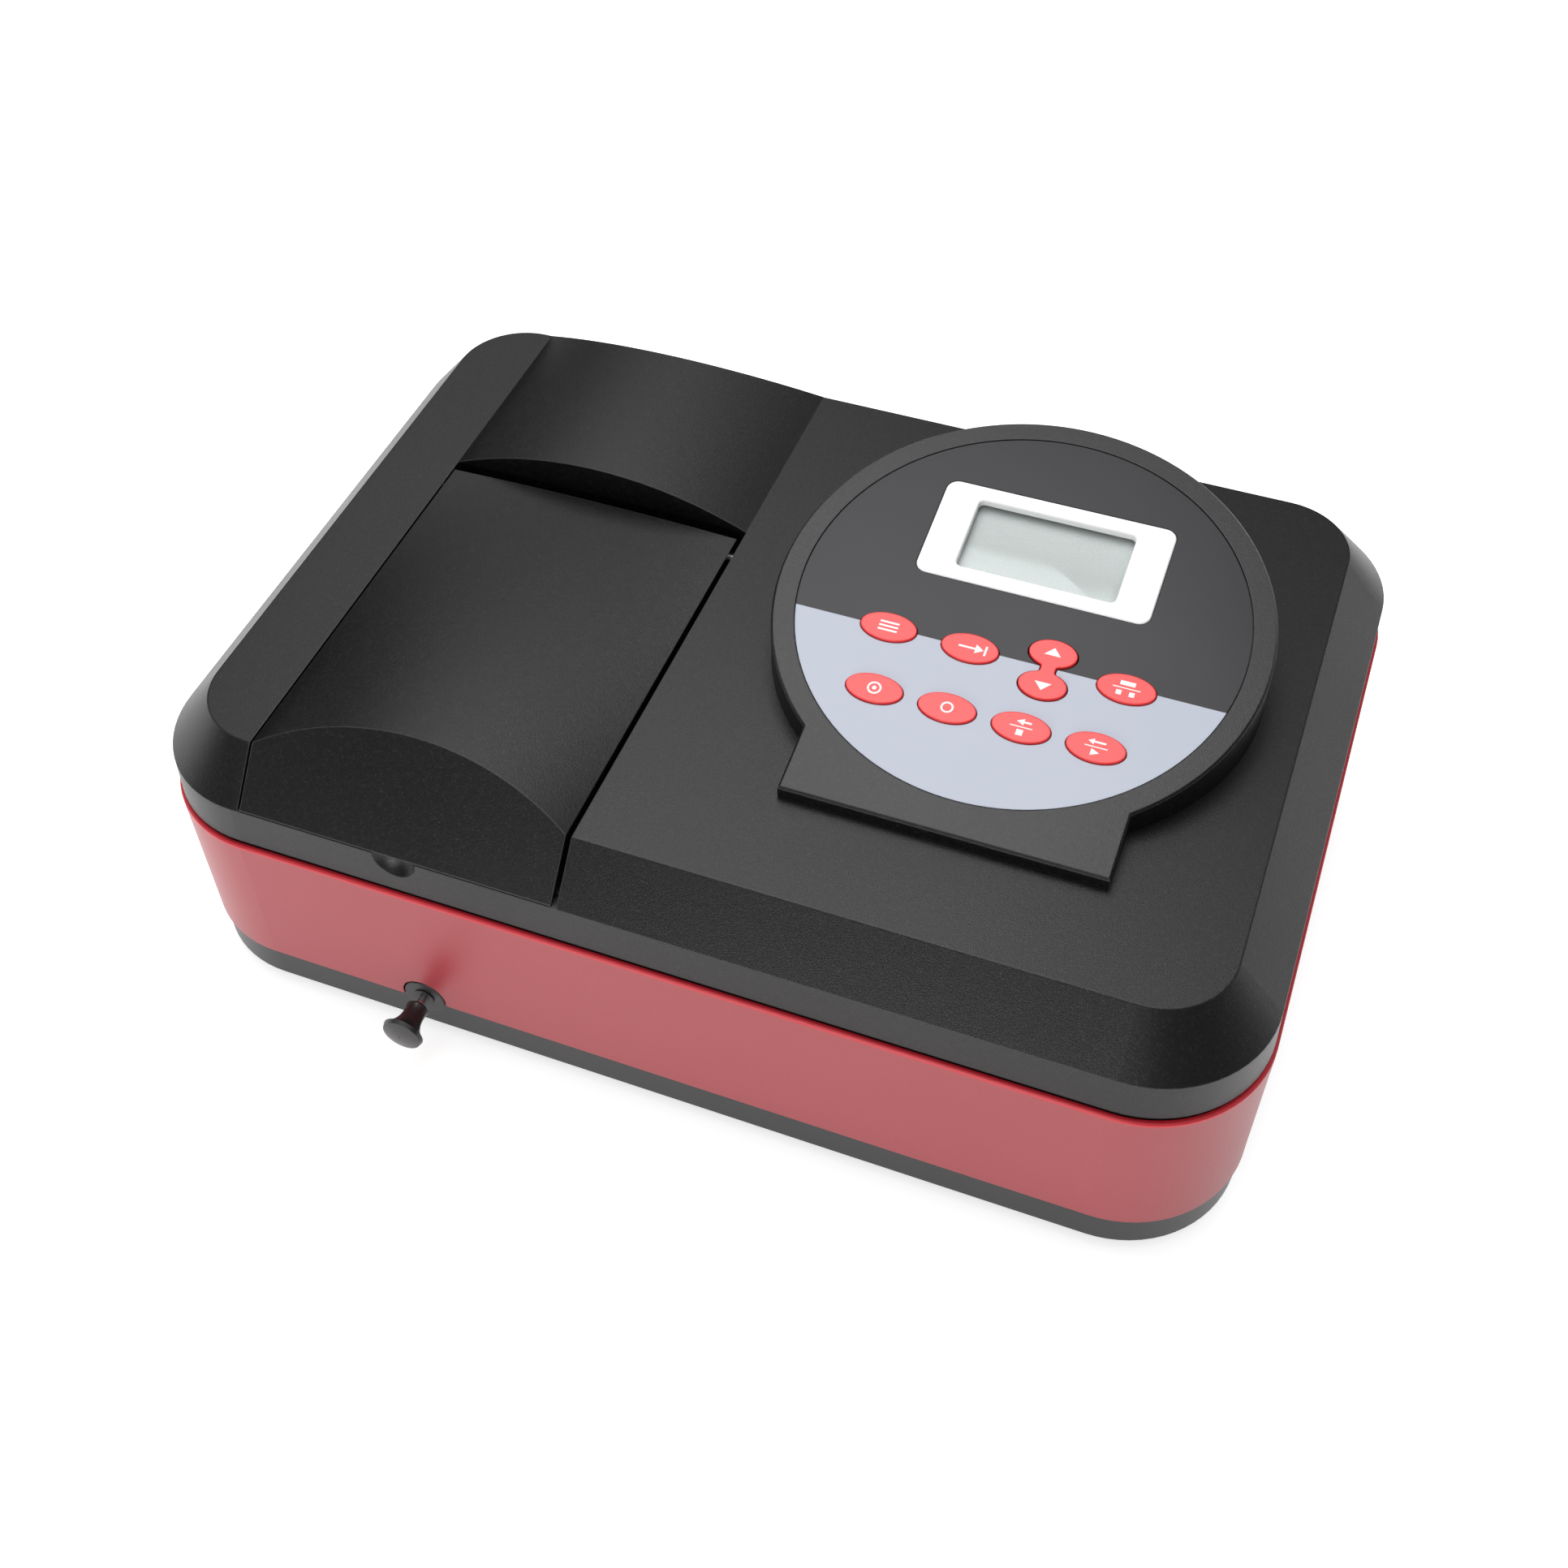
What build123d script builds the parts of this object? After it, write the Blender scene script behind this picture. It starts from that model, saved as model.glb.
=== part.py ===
from build123d import *
import math
import os

# Driving dimensions, in millimetres and degrees. Heights are above the table.

# Outer shell: a tray, a coloured band and a top cover stacked in one rounded plan
body_width = 460.0
body_depth = 320.0
body_corner = 49.0
foot_height = 8.0
foot_radius = 9.0
foot_margin_x = 62.0
foot_margin_y = 48.0
stem_radius = 3.0
stem_proud = 1.0
edge_break = 1.0
tray_height = 17.2
tray_outset = 0.4
tray_floor = 3.0
tray_wall = 3.0
tongue_height = 6.0
band_height = 72.6
band_low_outset = 1.8
band_top_outset = 2.2
band_wall = 2.2
band_bead = 1.0
ledge_drop = 10.0
ledge_reach = 6.0
ledge_thickness = 2.0
shadow_gap = 2.5
strip_height = 18.4
strip_outset = 0.8
facet_rise = 21.9
facet_inset = 19.0
cover_wall = 3.0
crease_round = 0.8

# Clearances
seam = 0.3
running = 0.05
press = 0.02
bore_spare = 1.0

# Pillars and posts that tie tray and cover together
pillar_margin_x = 27.0
pillar_margin_y = 40.0
pillar_radius = 6.0
pillar_top = 60.0
screw_radius = 2.0
screw_head_radius = 3.6
screw_head_height = 2.6
screw_seat = 8.0
screw_grip = 12.0

# Opening for the sample lid, and the raised barrel that runs through lid and cover
opening_margin = 52.0
opening_width = 140.4
opening_length = 201.0
lid_left_gap = 1.0
lid_right_gap = 2.4
lid_back_gap = 5.5
lid_front_gap = 0.4
lid_wall = 3.0
lid_skirt = 2.5
lid_rib_thickness = 3.0
lid_rib_setback = 95.0
lid_heel_drop = 7.0
barrel_rise = 15.2
lid_front_rise = 18.0
lid_back_rise = 1.4
rim_shelf = 3.0
mouth_side = 7.0
mouth_front = 12.0
mouth_back = 17.0
seal_width = 4.0
seal_height = 2.0
seal_setback = 6.5
notch_half_width = 9.8
notch_depth = 5.0
notch_wall = 2.5

# Hinge of the sample lid
hinge_setback = 12.0
hinge_drop = 5.6
hinge_radius = 2.0
knuckle_radius = 4.4
knuckle_length = 15.0
knuckle_inset = 1.0
pin_seat = 2.5

# Sample well under the lid, the cell changer in it and the light beam across it
well_wall = 2.0
well_floor = 2.0
well_leg = 3.0
well_leg_radius = 5.0
well_corner = 6.0
well_flange = 4.0
rod_height = 27.4
beam_setback = 98.0
window_radius = 8.0
window_thickness = 2.0
window_bore = 6.0
cell_size = 12.8
cell_pitch = 18.0
cell_count = 4
rack_floor = 2.0
cell_beam_rise = 15.0
rack_wall = 4.6
rack_height = 30.0
rack_slot = 8.0
rack_slot_sill = 6.0
carriage_width = 60.0
carriage_bottom = 18.5
carriage_height = 17.5
carriage_end = 5.0
guide_spread = 44.0
guide_height = 23.5
guide_radius = 2.5
guide_block = 6.0
guide_block_height = 18.0
guide_front = 4.0
guide_back = 4.0
rod_radius = 2.0
rod_seat = 10.0
bush_radius = 3.7
bush_flange_radius = 4.6
bush_flange = 0.5
boss_radius = 9.4
boss_proud = 1.6
boss_round = 0.8
boss_inner = 4.0
band_boss_gap = 0.6
knob_standoff = 5.3
knob_length = 15.5
knob_neck_radius = 5.0
knob_waist_radius = 4.6
knob_flange_radius = 9.1
knob_rim = 1.8
knob_dome = 1.2
knob_seat = 8.0
knob_sweep = 0.8

# Display pod: a tilted keyhole-shaped head on the cover
pod_shift = 2.5
pod_setback = 64.6
pod_tilt = 10.2
pod_front_height = 5.8
pod_radius = 100.5
pod_tab_length = 105.7
pod_tab_width = 130.4
pod_wall = 3.0
pod_plate = 3.5
pod_edge = 0.9
overlay_radius = 91.1
overlay_gap = 0.4
overlay_thickness = 1.0
overlay_sink = 0.2
boss_front_share = 0.299
boss_front_drop = 19.0
boss_back_share = 0.168
boss_back_rise = 74.0
pod_boss_radius = 4.0
pod_screw_radius = 1.5
pod_screw_grip = 8.0
pod_screw_head_radius = 2.8
pod_screw_head = 1.8
pod_cable_radius = 12.0

# Display: white surround, glass and module, placed from the centre of the disc
display_right = 0.7
display_up = 33.4
bezel_width = 97.5
bezel_height = 49.5
bezel_corner = 5.0
bezel_proud = 0.2
bezel_throat = 2.0
bezel_throat_wall = 2.0
window_width = 66.8
window_height = 35.4
window_corner = 2.5
glass_margin = 5.0
glass_thickness = 2.0
module_frame_margin = 6.5
module_frame_height = 4.0
module_board_margin = 13.0
module_board_thickness = 1.6
board_post_inset = 3.2
board_peg_radius = 1.2

# Keys, placed from the centre of the disc
key_half_width = 11.7
key_half_height = 6.7
key_gap = 0.35
key_proud = 1.0
key_round = 0.5
key_flange = 1.6
key_flange_thickness = 1.0
key_stem_radius = 3.0
key_stem_length = 1.6
upper_key_spots = ((-48.3, -22.2), (-14.3, -22.5), (49.1, -23.0))
lower_key_spots = ((-44.3, -51.9), (-14.4, -52.1), (15.4, -52.2), (45.0, -52.4))
arrow_right = 17.7
arrow_up = -23.2
arrow_spread = 15.6
arrow_half_width = 9.7
arrow_half_height = 6.5
arrow_neck = 6.0
arrow_fillet = 1.2
arrow_gap = 0.5
arrow_pivot_depth = 5.5
trunnion_radius = 1.5
trunnion_half_length = 10.0
saddle_inner = 7.5
saddle_width = 4.4
saddle_depth = 5.0
switch_size = 6.0
switch_height = 2.9
switch_gap = 0.9
switch_plunger_radius = 1.7
switch_plunger = 0.6
key_board_thickness = 1.6
key_board_width = 124.0
key_board_height = 58.0
key_board_up = -37.0
key_post_inset = 3.0

# Back panel and what it carries
panel_thickness = 1.5
panel_gap = 0.2
panel_window_left = 108.0
panel_window_right = 58.0
panel_window_low = 35.0
panel_window_height = 48.0
panel_overlap = 10.0
panel_screw_radius = 1.4
panel_screw_head_radius = 3.0
panel_screw_head = 1.8
panel_screw_length = 8.0
fan_spread = 86.0
fan_size = 48.0
fan_depth = 15.0
fan_bore = 22.5
fan_screw_inset = 4.5
fan_corner = 4.0
fan_hub_radius = 10.0
fan_hub_depth = 10.0
fan_hub_gap = 0.8
fan_pin_grip = 7.0
fan_blade_reach = 21.2
fan_blade_width = 8.0
fan_blade_thickness = 1.2
fan_blade_angle = 38.0
fan_blades = 7
fan_pin_radius = 1.5
fan_spider_thickness = 2.0
fan_spider_width = 3.0
vent_rings = 3
vent_slot = 3.2
vent_pitch = 6.0
vent_first = 8.0
vent_bridge = 4.0
inlet_margin = 85.0
inlet_flange_width = 50.0
inlet_flange_height = 31.0
inlet_flange = 2.3
inlet_body_width = 30.0
inlet_body_height = 27.0
inlet_body_depth = 18.5
inlet_corner = 2.0
inlet_screw_spread = 40.0
inlet_cavity_width = 24.2
inlet_cavity_height = 16.6
inlet_cavity_depth = 16.0
inlet_cavity_chamfer = 4.0
inlet_cavity_rise = 4.0
inlet_pin_width = 4.0
inlet_pin_thickness = 2.0
inlet_pin_length = 13.0
inlet_pin_spread = 7.0
inlet_earth_rise = 4.0
inlet_tab = 6.0
fuse_drawer_drop = 8.1
fuse_drawer_groove = 0.4
fuse_drawer_height = 5.4
fuse_drawer_width = 22.0
fuse_drawer_proud = 0.4
switch_margin = 125.0
rocker_frame_width = 15.0
rocker_frame_height = 21.0
rocker_frame_flange = 1.4
rocker_frame_lip = 2.0
rocker_frame_depth = 14.0
rocker_gap = 0.4
rocker_frame_wall = 1.2
rocker_half = 8.4
rocker_lip = 3.2
rocker_dip = 1.8
rocker_back = 2.0
rocker_keel = 5.0
rocker_pivot_depth = 4.0
rocker_angle = 8.0
rocker_pin_radius = 1.2
rocker_pin_seat = 0.8
port_margin = 164.0
port_flange_width = 30.8
port_flange_height = 12.5
port_flange = 1.0
port_shell_width = 17.0
port_shell_height = 8.4
port_shell_slant = 10.0
port_shell_reach = 5.9
port_body_width = 20.0
port_body_height = 10.4
port_body_depth = 8.0
port_round = 1.5
port_socket_radius = 0.55
port_socket_pitch = 2.77
port_socket_row = 2.84
port_socket_depth = 4.0
port_low_sockets = 5
port_high_sockets = 4
port_nut_height = 4.7
port_nut_spread = 25.0
port_nut_radius = 2.5

# Optical bench
bench_post = 5.0
bench_post_radius = 7.0
bench_thickness = 8.0
bench_gap = 4.0
bench_left = 104.0
bench_corner = 4.0
bench_front = 38.0
bench_back = 10.0
box_gap = 9.6
box_front = 42.0
box_wall = 4.0
box_height = 58.0
box_lid = 3.0
box_lid_lip = 2.0
slit_width = 1.0
slit_height = 12.0
slit_plate_width = 24.0
slit_plate_thickness = 1.0
slit_bore = 6.0
mirror_radius = 15.0
mirror_thickness = 7.0
mirror_mount_width = 34.0
mirror_mount_thickness = 6.0
fold_block = 8.0
mirror_hollow = 1.2
mirror_setback = 30.0
fold_size = 24.0
fold_thickness = 4.0
fold_inset = 18.0
grating_inset = 33.0
table_radius = 16.0
table_thickness = 5.0
table_pin_radius = 3.0
table_boss_radius = 7.0
grating_size = 22.0
grating_thickness = 5.0
grating_back = 5.0
arm_width = 8.0
arm_tip_radius = 3.0
drive_radius = 2.5
drive_offset = 14.0
drive_setback = 16.0
drive_share = 0.38
nut_length = 12.0
nut_width = 12.0
nut_height = 14.0
nut_finger = 18.0
nut_finger_height = 7.0
nut_finger_thickness = 5.0
nut_gap = 0.2
bearing_inset = 3.0
bearing_thickness = 5.0
bearing_width = 14.0
motor_size = 20.0
motor_length = 14.0
motor_corner = 2.5
motor_pilot_radius = 7.5
motor_pilot = 1.0
motor_shaft_seat = 8.0
wheel_gap = 1.0
wheel_radius = 26.0
wheel_thickness = 2.4
wheel_offset = 18.0
wheel_holes = 6
wheel_hole_radius = 5.0
wheel_shaft_radius = 1.5
wheel_shaft_gap = 1.6
lamp_wall = 2.0
lamp_house_left = 95.0
lamp_house_right = 75.0
lamp_house_depth = 52.0
lamp_clearance = 26.0
lamp_house_height = 70.0
lamp_spread = 46.0
lamp_vent = 3.0
lamp_vent_pitch = 7.0
lamp_vent_count = 6
lamp_vent_length = 34.0
lamp_vent_shift = 10.0
lamp_round = 5.0
deuterium_radius = 13.0
deuterium_height = 50.0
tungsten_radius = 6.0
tungsten_height = 28.0
socket_radius = 11.0
socket_height = 8.0
source_mirror_size = 26.0
source_mirror_thickness = 3.0
source_post_radius = 3.0
source_boss_radius = 7.0
source_boss_height = 12.0
source_hub_height = 8.0
detector_gap = 2.0
detector_depth = 30.0
detector_width = 36.0
detector_height = 34.0
detector_foot = 6.0
detector_bore_depth = 12.0
detector_neck = 20.0
detector_bore = 5.0
board_width_share = 0.7
board_depth_share = 0.467
board_thickness = 1.6
board_standoff = 6.0
board_standoff_radius = 3.0
board_corner = 2.0
board_peg_proud = 0.6
chip_width_share = 0.145
chip_depth_share = 0.19
chip_column_share = 0.218
chip_row_share = 0.286
chip_columns = 3
chip_rows = 2
chip_height = 2.0
supply_margin = 22.0
supply_share = 0.135
supply_clearance = 12.0
supply_depth = 104.0
supply_height = 42.0
supply_back = 70.0
supply_standoff = 3.0
supply_foot_inset = 5.0
supply_slot_depth = 2.0
supply_slot_inset = 11.0
supply_slot_pitch = 9.0
supply_slot = 3.0
supply_slot_count = 8

# Levels and edges that follow from them
tray_top = foot_height + tray_height
band_top = tray_top + band_height
cover_bottom = band_top + shadow_gap
rim = cover_bottom + strip_height
top = rim + facet_rise
floor_top = foot_height + tray_floor
left_edge = -body_width / 2
right_edge = body_width / 2
front_edge = -body_depth / 2
back_edge = body_depth / 2
facet_slope = math.atan2(facet_rise, facet_inset)
facet_shift = 1 / math.sin(facet_slope)
ledge_top = band_top - ledge_drop
open_left = left_edge + opening_margin
open_right = open_left + opening_width
open_back = front_edge + opening_length
lid_left = open_left + lid_left_gap
lid_right = open_right - lid_right_gap
lid_back = open_back - lid_back_gap
lid_mid = (open_left + open_right) / 2
shelf_bottom = rim - rim_shelf
panel_face = back_edge - (band_wall - band_low_outset) - panel_gap
panel_inner = panel_face - panel_thickness
rod_front = front_edge - tray_outset - boss_proud
knob_back = rod_front - knob_standoff
knob_front = knob_back - knob_length
hinge_y = open_back - hinge_setback
hinge_height = top - hinge_drop
beam_y = front_edge + beam_setback
beam_height = carriage_bottom + carriage_height + rack_floor + cell_beam_rise

# The plan is moved along Y so that the reference point is the middle of the whole footprint
front_reach = -knob_front + knob_dome
rear_reach = panel_face + port_flange + port_shell_reach
centre_y = (front_reach - rear_reach) / 2


def level(height, x=0.0, y=0.0):
    """Level plane at a height above the table, over a point of the plan."""
    return Plane((x, centre_y + y, height))


def upright(y, x=0.0, height=0.0):
    """Upright plane that faces the front, with X to the right and Z up."""
    return Plane((x, centre_y + y, height), x_dir=(1, 0, 0), z_dir=(0, -1, 0))


def sideways(x, y=0.0, height=0.0):
    """Upright plane that faces right, with Y to its right and Z up."""
    return Plane((x, centre_y + y, height), x_dir=(0, 1, 0), z_dir=(1, 0, 0))


def outline(inset, mode=Mode.ADD):
    """The body's rounded plan, moved in by an inset."""
    RectangleRounded(body_width - 2 * inset, body_depth - 2 * inset, body_corner - inset, mode=mode)


def rect_between(x_low, x_high, y_low, y_high, mode=Mode.ADD):
    """Rectangle of a sketch between two corners."""
    with Locations(((x_low + x_high) / 2, (y_low + y_high) / 2)):
        Rectangle(x_high - x_low, y_high - y_low, mode=mode)


def save(piece, name):
    """Label a finished piece and write its file."""
    piece.part.label = name
    export_step(piece.part, f"parts/{name}.step")


os.makedirs("parts", exist_ok=True)

pillar_x = body_width / 2 - pillar_margin_x
pillar_y = body_depth / 2 - pillar_margin_y
pillar_spots = [(x, y) for x in (-pillar_x, pillar_x) for y in (-pillar_y, pillar_y)]
foot_x = body_width / 2 - foot_margin_x
foot_y = body_depth / 2 - foot_margin_y
foot_spots = [(x, y) for x in (-foot_x, foot_x) for y in (-foot_y, foot_y)]


# Base tray: moulded floor and low wall, with the boss that guides the pull rod
supply_width = body_width * supply_share
supply_west = right_edge - supply_margin - supply_width
supply_x = supply_west + supply_width / 2
supply_y = back_edge - supply_back - supply_depth / 2
supply_spots = [
    (supply_x + side * (supply_width / 2 - supply_foot_inset),
     supply_y + end * (supply_depth / 2 - supply_foot_inset))
    for side in (-1, 1) for end in (-1, 1)
]
lamp_back = back_edge - lamp_clearance
lamp_front = lamp_back - lamp_house_depth
wheel_motor_face = lamp_front - motor_length
wheel_back = wheel_motor_face - wheel_shaft_gap
wheel_front = wheel_back - wheel_thickness
bench_east = supply_west - supply_clearance
box_left = open_right + box_gap
box_right = bench_east - bench_gap
box_low = front_edge + box_front
box_high = wheel_front - wheel_gap - slit_plate_thickness
box_length = box_right - box_left
box_depth = box_high - box_low
slit_x = box_left + fold_inset
bench_top = floor_top + bench_post + bench_thickness
bench_west = slit_x - bench_left
bench_south = front_edge + bench_front
bench_north = back_edge - bench_back - bench_gap
well_west = open_left + mouth_side
well_east = open_right - mouth_side
well_south = front_edge + mouth_front
well_north = open_back - mouth_back
bench_step_x = well_east + well_wall + bench_gap
bench_step_y = well_north + well_wall + bench_gap
bench_post_spots = [
    (bench_east - bench_post_radius, bench_south + bench_post_radius),
    (bench_step_x + bench_post_radius, bench_south + bench_post_radius),
    (bench_east - bench_post_radius, bench_north - bench_post_radius),
    (bench_west + bench_post_radius, bench_north - bench_post_radius),
    (bench_west + bench_post_radius, bench_step_y + bench_post_radius),
]

with BuildPart() as base_tray:
    with BuildSketch(level(foot_height)):
        outline(-tray_outset)
    extrude(amount=tray_height)
    with BuildSketch(level(tray_top)):
        outline(band_wall - band_low_outset + seam)
    extrude(amount=tongue_height)
    with BuildSketch(level(floor_top)):
        outline(tray_wall - tray_outset)
    extrude(amount=tray_height + tongue_height, mode=Mode.SUBTRACT)
    with BuildSketch(upright(front_edge + boss_inner)):
        with Locations((lid_mid, rod_height)):
            Circle(boss_radius)
    extrude(amount=front_edge + boss_inner - rod_front)
    fillet(base_tray.edges().filter_by(GeomType.CIRCLE).sort_by(Axis.Y)[0], boss_round)
    with BuildSketch(upright(front_edge + boss_inner)):
        with Locations((lid_mid, rod_height)):
            Circle(bush_radius + press)
    extrude(amount=front_edge + boss_inner - rod_front, mode=Mode.SUBTRACT)
    with BuildSketch(level(floor_top)):
        with Locations(*pillar_spots):
            Circle(pillar_radius)
    extrude(amount=pillar_top - floor_top)
    with BuildSketch(level(floor_top)):
        with Locations(*bench_post_spots):
            Circle(bench_post_radius)
    extrude(amount=bench_post)
    with BuildSketch(level(floor_top)):
        with Locations(*supply_spots):
            Circle(board_standoff_radius)
    extrude(amount=supply_standoff)
    with BuildSketch(level(foot_height)):
        with Locations(*pillar_spots):
            Circle(screw_head_radius + seam)
    extrude(amount=pillar_top - screw_seat - foot_height, mode=Mode.SUBTRACT)
    with BuildSketch(level(foot_height)):
        with Locations(*pillar_spots):
            Circle(screw_radius + seam)
    extrude(amount=pillar_top, mode=Mode.SUBTRACT)
    with BuildSketch(level(foot_height)):
        with Locations(*foot_spots):
            Circle(stem_radius + running)
    extrude(amount=tray_floor, mode=Mode.SUBTRACT)
save(base_tray, "base_tray")


# Feet: four rubber buttons pushed into the tray
with BuildPart() as rubber_feet:
    with BuildSketch(level(0)):
        with Locations(*foot_spots):
            Circle(foot_radius)
    extrude(amount=foot_height)
    chamfer(rubber_feet.edges().filter_by(GeomType.CIRCLE).group_by(Axis.Z)[0], edge_break)
    with BuildSketch(level(foot_height)):
        with Locations(*foot_spots):
            Circle(stem_radius)
    extrude(amount=tray_floor + stem_proud)
save(rubber_feet, "rubber_feet")


# Side band: the coloured wall, slightly wider at its rounded top edge
def band_form(inset):
    """Solid inside the band's outer face, moved in by an inset."""
    with BuildPart() as form:
        with BuildSketch(level(tray_top)):
            outline(inset - band_low_outset)
        with BuildSketch(level(band_top)):
            outline(inset - band_top_outset)
        loft()
    return form.part


band_outer = band_form(0)
band_inner = band_form(band_wall)
panel_left = left_edge + panel_window_left
panel_right = right_edge - panel_window_right
panel_low = panel_window_low
panel_high = panel_window_low + panel_window_height
panel_screw_spots = [
    (x, z)
    for x in (panel_left - panel_overlap / 2, panel_right + panel_overlap / 2)
    for z in (panel_low + panel_overlap / 2, panel_high - panel_overlap / 2)
]

with BuildPart() as side_band:
    add(band_outer)
    fillet(side_band.faces().sort_by(Axis.Z)[-1].edges(), band_bead)
    add(band_inner, mode=Mode.SUBTRACT)
    with BuildSketch(level(ledge_top)):
        outline(0)
        outline(ledge_reach, mode=Mode.SUBTRACT)
    extrude(amount=-ledge_thickness)
    with BuildSketch(upright(front_edge + ledge_reach)):
        with Locations((lid_mid, rod_height)):
            Circle(boss_radius + band_boss_gap)
    extrude(amount=2 * ledge_reach, mode=Mode.SUBTRACT)
    with BuildSketch(upright(back_edge - ledge_reach)):
        rect_between(panel_left, panel_right, panel_low, panel_high)
        with Locations(*panel_screw_spots):
            Circle(panel_screw_radius + seam)
    extrude(amount=-2 * ledge_reach, mode=Mode.SUBTRACT)
save(side_band, "side_band")


# Screws up through the tray pillars into the cover
with BuildPart() as case_screws:
    with BuildSketch(level(pillar_top - screw_seat)):
        with Locations(*pillar_spots):
            Circle(screw_head_radius)
    extrude(amount=-screw_head_height)
    with BuildSketch(level(pillar_top - screw_seat)):
        with Locations(*pillar_spots):
            Circle(screw_radius)
    extrude(amount=screw_seat + screw_grip)
save(case_screws, "case_screws")


# Top cover: vertical strip, sloped facet, flat top and the barrel behind the lid
def facet_inset_at(height, inset):
    """How far the sloped facet lies in from the rim at a height."""
    return facet_inset * (height - rim) / facet_rise + inset * facet_shift


def facet_wedge(inset, height):
    """Solid under the four sloped facets, carried on up to a height."""
    with BuildPart() as form:
        with BuildSketch(level(rim)):
            outline(facet_inset_at(rim, inset))
        with BuildSketch(level(height)):
            outline(facet_inset_at(height, inset))
        loft()
    return form.part


def cover_form(inset):
    """Solid inside the cover's outer face, moved in by an inset."""
    wedge = facet_wedge(inset, top - inset)
    with BuildPart() as form:
        with BuildSketch(level(cover_bottom)):
            outline(inset - strip_outset)
        with BuildSketch(level(rim)):
            outline(facet_inset_at(rim, inset))
        loft()
        add(wedge)
    return form.part


def crowned_section(y, low, high, rise, left, right):
    """Upright section with straight sides and a shallow arc on top."""
    with BuildSketch(upright(y)) as section:
        with BuildLine():
            Polyline((left, high), (left, low), (right, low), (right, high))
            ThreePointArc((left, high), ((left + right) / 2, high + rise), (right, high))
        make_face()
    return section.sketch


def barrel_form(inset):
    """Raised barrel behind the lid, cut off by the back facet."""
    wedge = facet_wedge(inset, top + barrel_rise + cover_wall)
    section = crowned_section(
        open_back + inset, rim, top - inset, barrel_rise, open_left + inset, open_right - inset
    )
    with BuildPart() as form:
        extrude(section, amount=open_back + inset - back_edge)
        add(wedge, mode=Mode.INTERSECT)
    return form.part


cover_outer = cover_form(0)
cover_outer = fillet(cover_outer.edges().group_by(Axis.Z)[-1], crease_round)
cover_inner = cover_form(cover_wall)
barrel_outer = barrel_form(0)
barrel_inner = barrel_form(cover_wall)
cover_and_barrel = cover_outer + barrel_outer
pod_x = (open_right + right_edge) / 2 - pod_shift
tilt = math.radians(pod_tilt)
tab_front_y = front_edge + pod_setback
pod_y = tab_front_y + pod_tab_length * math.cos(tilt)
pod_z = top + pod_front_height + pod_tab_length * math.sin(tilt)
boss_front_spread = (right_edge - open_right) * boss_front_share
boss_back_spread = (right_edge - open_right) * boss_back_share
pod_boss_spots = [
    (pod_x - boss_front_spread, pod_y - boss_front_drop),
    (pod_x + boss_front_spread, pod_y - boss_front_drop),
    (pod_x - boss_back_spread, pod_y + boss_back_rise),
    (pod_x + boss_back_spread, pod_y + boss_back_rise),
]
notch_sphere = (notch_half_width ** 2 + notch_depth ** 2) / (2 * notch_depth)
notch_y = centre_y + front_edge + notch_depth - notch_sphere

with BuildPart() as well_frame:
    with BuildSketch(level(shelf_bottom)):
        rect_between(open_left - cover_wall, open_right + cover_wall, front_edge, open_back + cover_wall)
    extrude(amount=facet_rise + barrel_rise + 2 * rim_shelf)
    with Locations((lid_mid, notch_y, rim)):
        Sphere(notch_sphere + notch_wall)
    add(cover_and_barrel, mode=Mode.INTERSECT)

with BuildPart() as top_cover:
    add(cover_and_barrel)
    add(cover_inner, mode=Mode.SUBTRACT)
    add(barrel_inner, mode=Mode.SUBTRACT)
    with BuildSketch(level(ledge_top)):
        outline(band_wall - band_top_outset + seam)
        outline(tray_wall - tray_outset, mode=Mode.SUBTRACT)
    extrude(amount=cover_bottom - ledge_top + cover_wall)
    add(well_frame.part)
    with BuildSketch(level(pillar_top)):
        with Locations(*pillar_spots):
            Circle(pillar_radius)
    extrude(amount=top - cover_wall / 2 - pillar_top)
    with BuildSketch(level(rim)):
        rect_between(open_left, open_right, front_edge - cover_wall, open_back)
    extrude(amount=facet_rise + barrel_rise + cover_wall, mode=Mode.SUBTRACT)
    with BuildSketch(level(shelf_bottom)):
        rect_between(well_west, well_east, well_south, well_north)
    extrude(amount=rim_shelf, mode=Mode.SUBTRACT)
    with Locations((lid_mid, notch_y, rim)):
        Sphere(notch_sphere, mode=Mode.SUBTRACT)
    with BuildSketch(sideways(open_left - pin_seat, hinge_y, hinge_height)):
        Circle(hinge_radius + press)
    extrude(amount=opening_width + 2 * pin_seat, mode=Mode.SUBTRACT)
    with BuildSketch(level(pillar_top)):
        with Locations(*pillar_spots):
            Circle(screw_radius + press)
    extrude(amount=screw_grip + bore_spare, mode=Mode.SUBTRACT)
    with BuildSketch(level(top)):
        with Locations((pod_x, pod_y)):
            Circle(pod_cable_radius)
        with Locations(*pod_boss_spots):
            Circle(pod_screw_radius + seam)
    extrude(amount=-2 * cover_wall, mode=Mode.SUBTRACT)
save(top_cover, "top_cover")


# Sample lid: a crowned shell that flattens towards its hinge
skirt_bottom = rim + seal_height + seam
seal_front = front_edge + seal_setback


def lid_form(inset, low):
    """Solid inside the lid's outer face, moved in by an inset, down to a level."""
    side = inset * lid_skirt / lid_wall
    wedge = facet_wedge(inset, top + lid_front_rise + cover_wall)
    left = lid_left + side
    right = lid_right - side
    front_section = crowned_section(front_edge, low, top - inset, lid_front_rise, left, right)
    back_section = crowned_section(lid_back - side, low, top - inset, lid_back_rise, left, right)
    with BuildPart() as form:
        loft([front_section, back_section])
        add(wedge, mode=Mode.INTERSECT)
    return form.part


lid_outer = lid_form(0, rim + lid_front_gap)
lid_inner = lid_form(lid_wall, rim)

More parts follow.
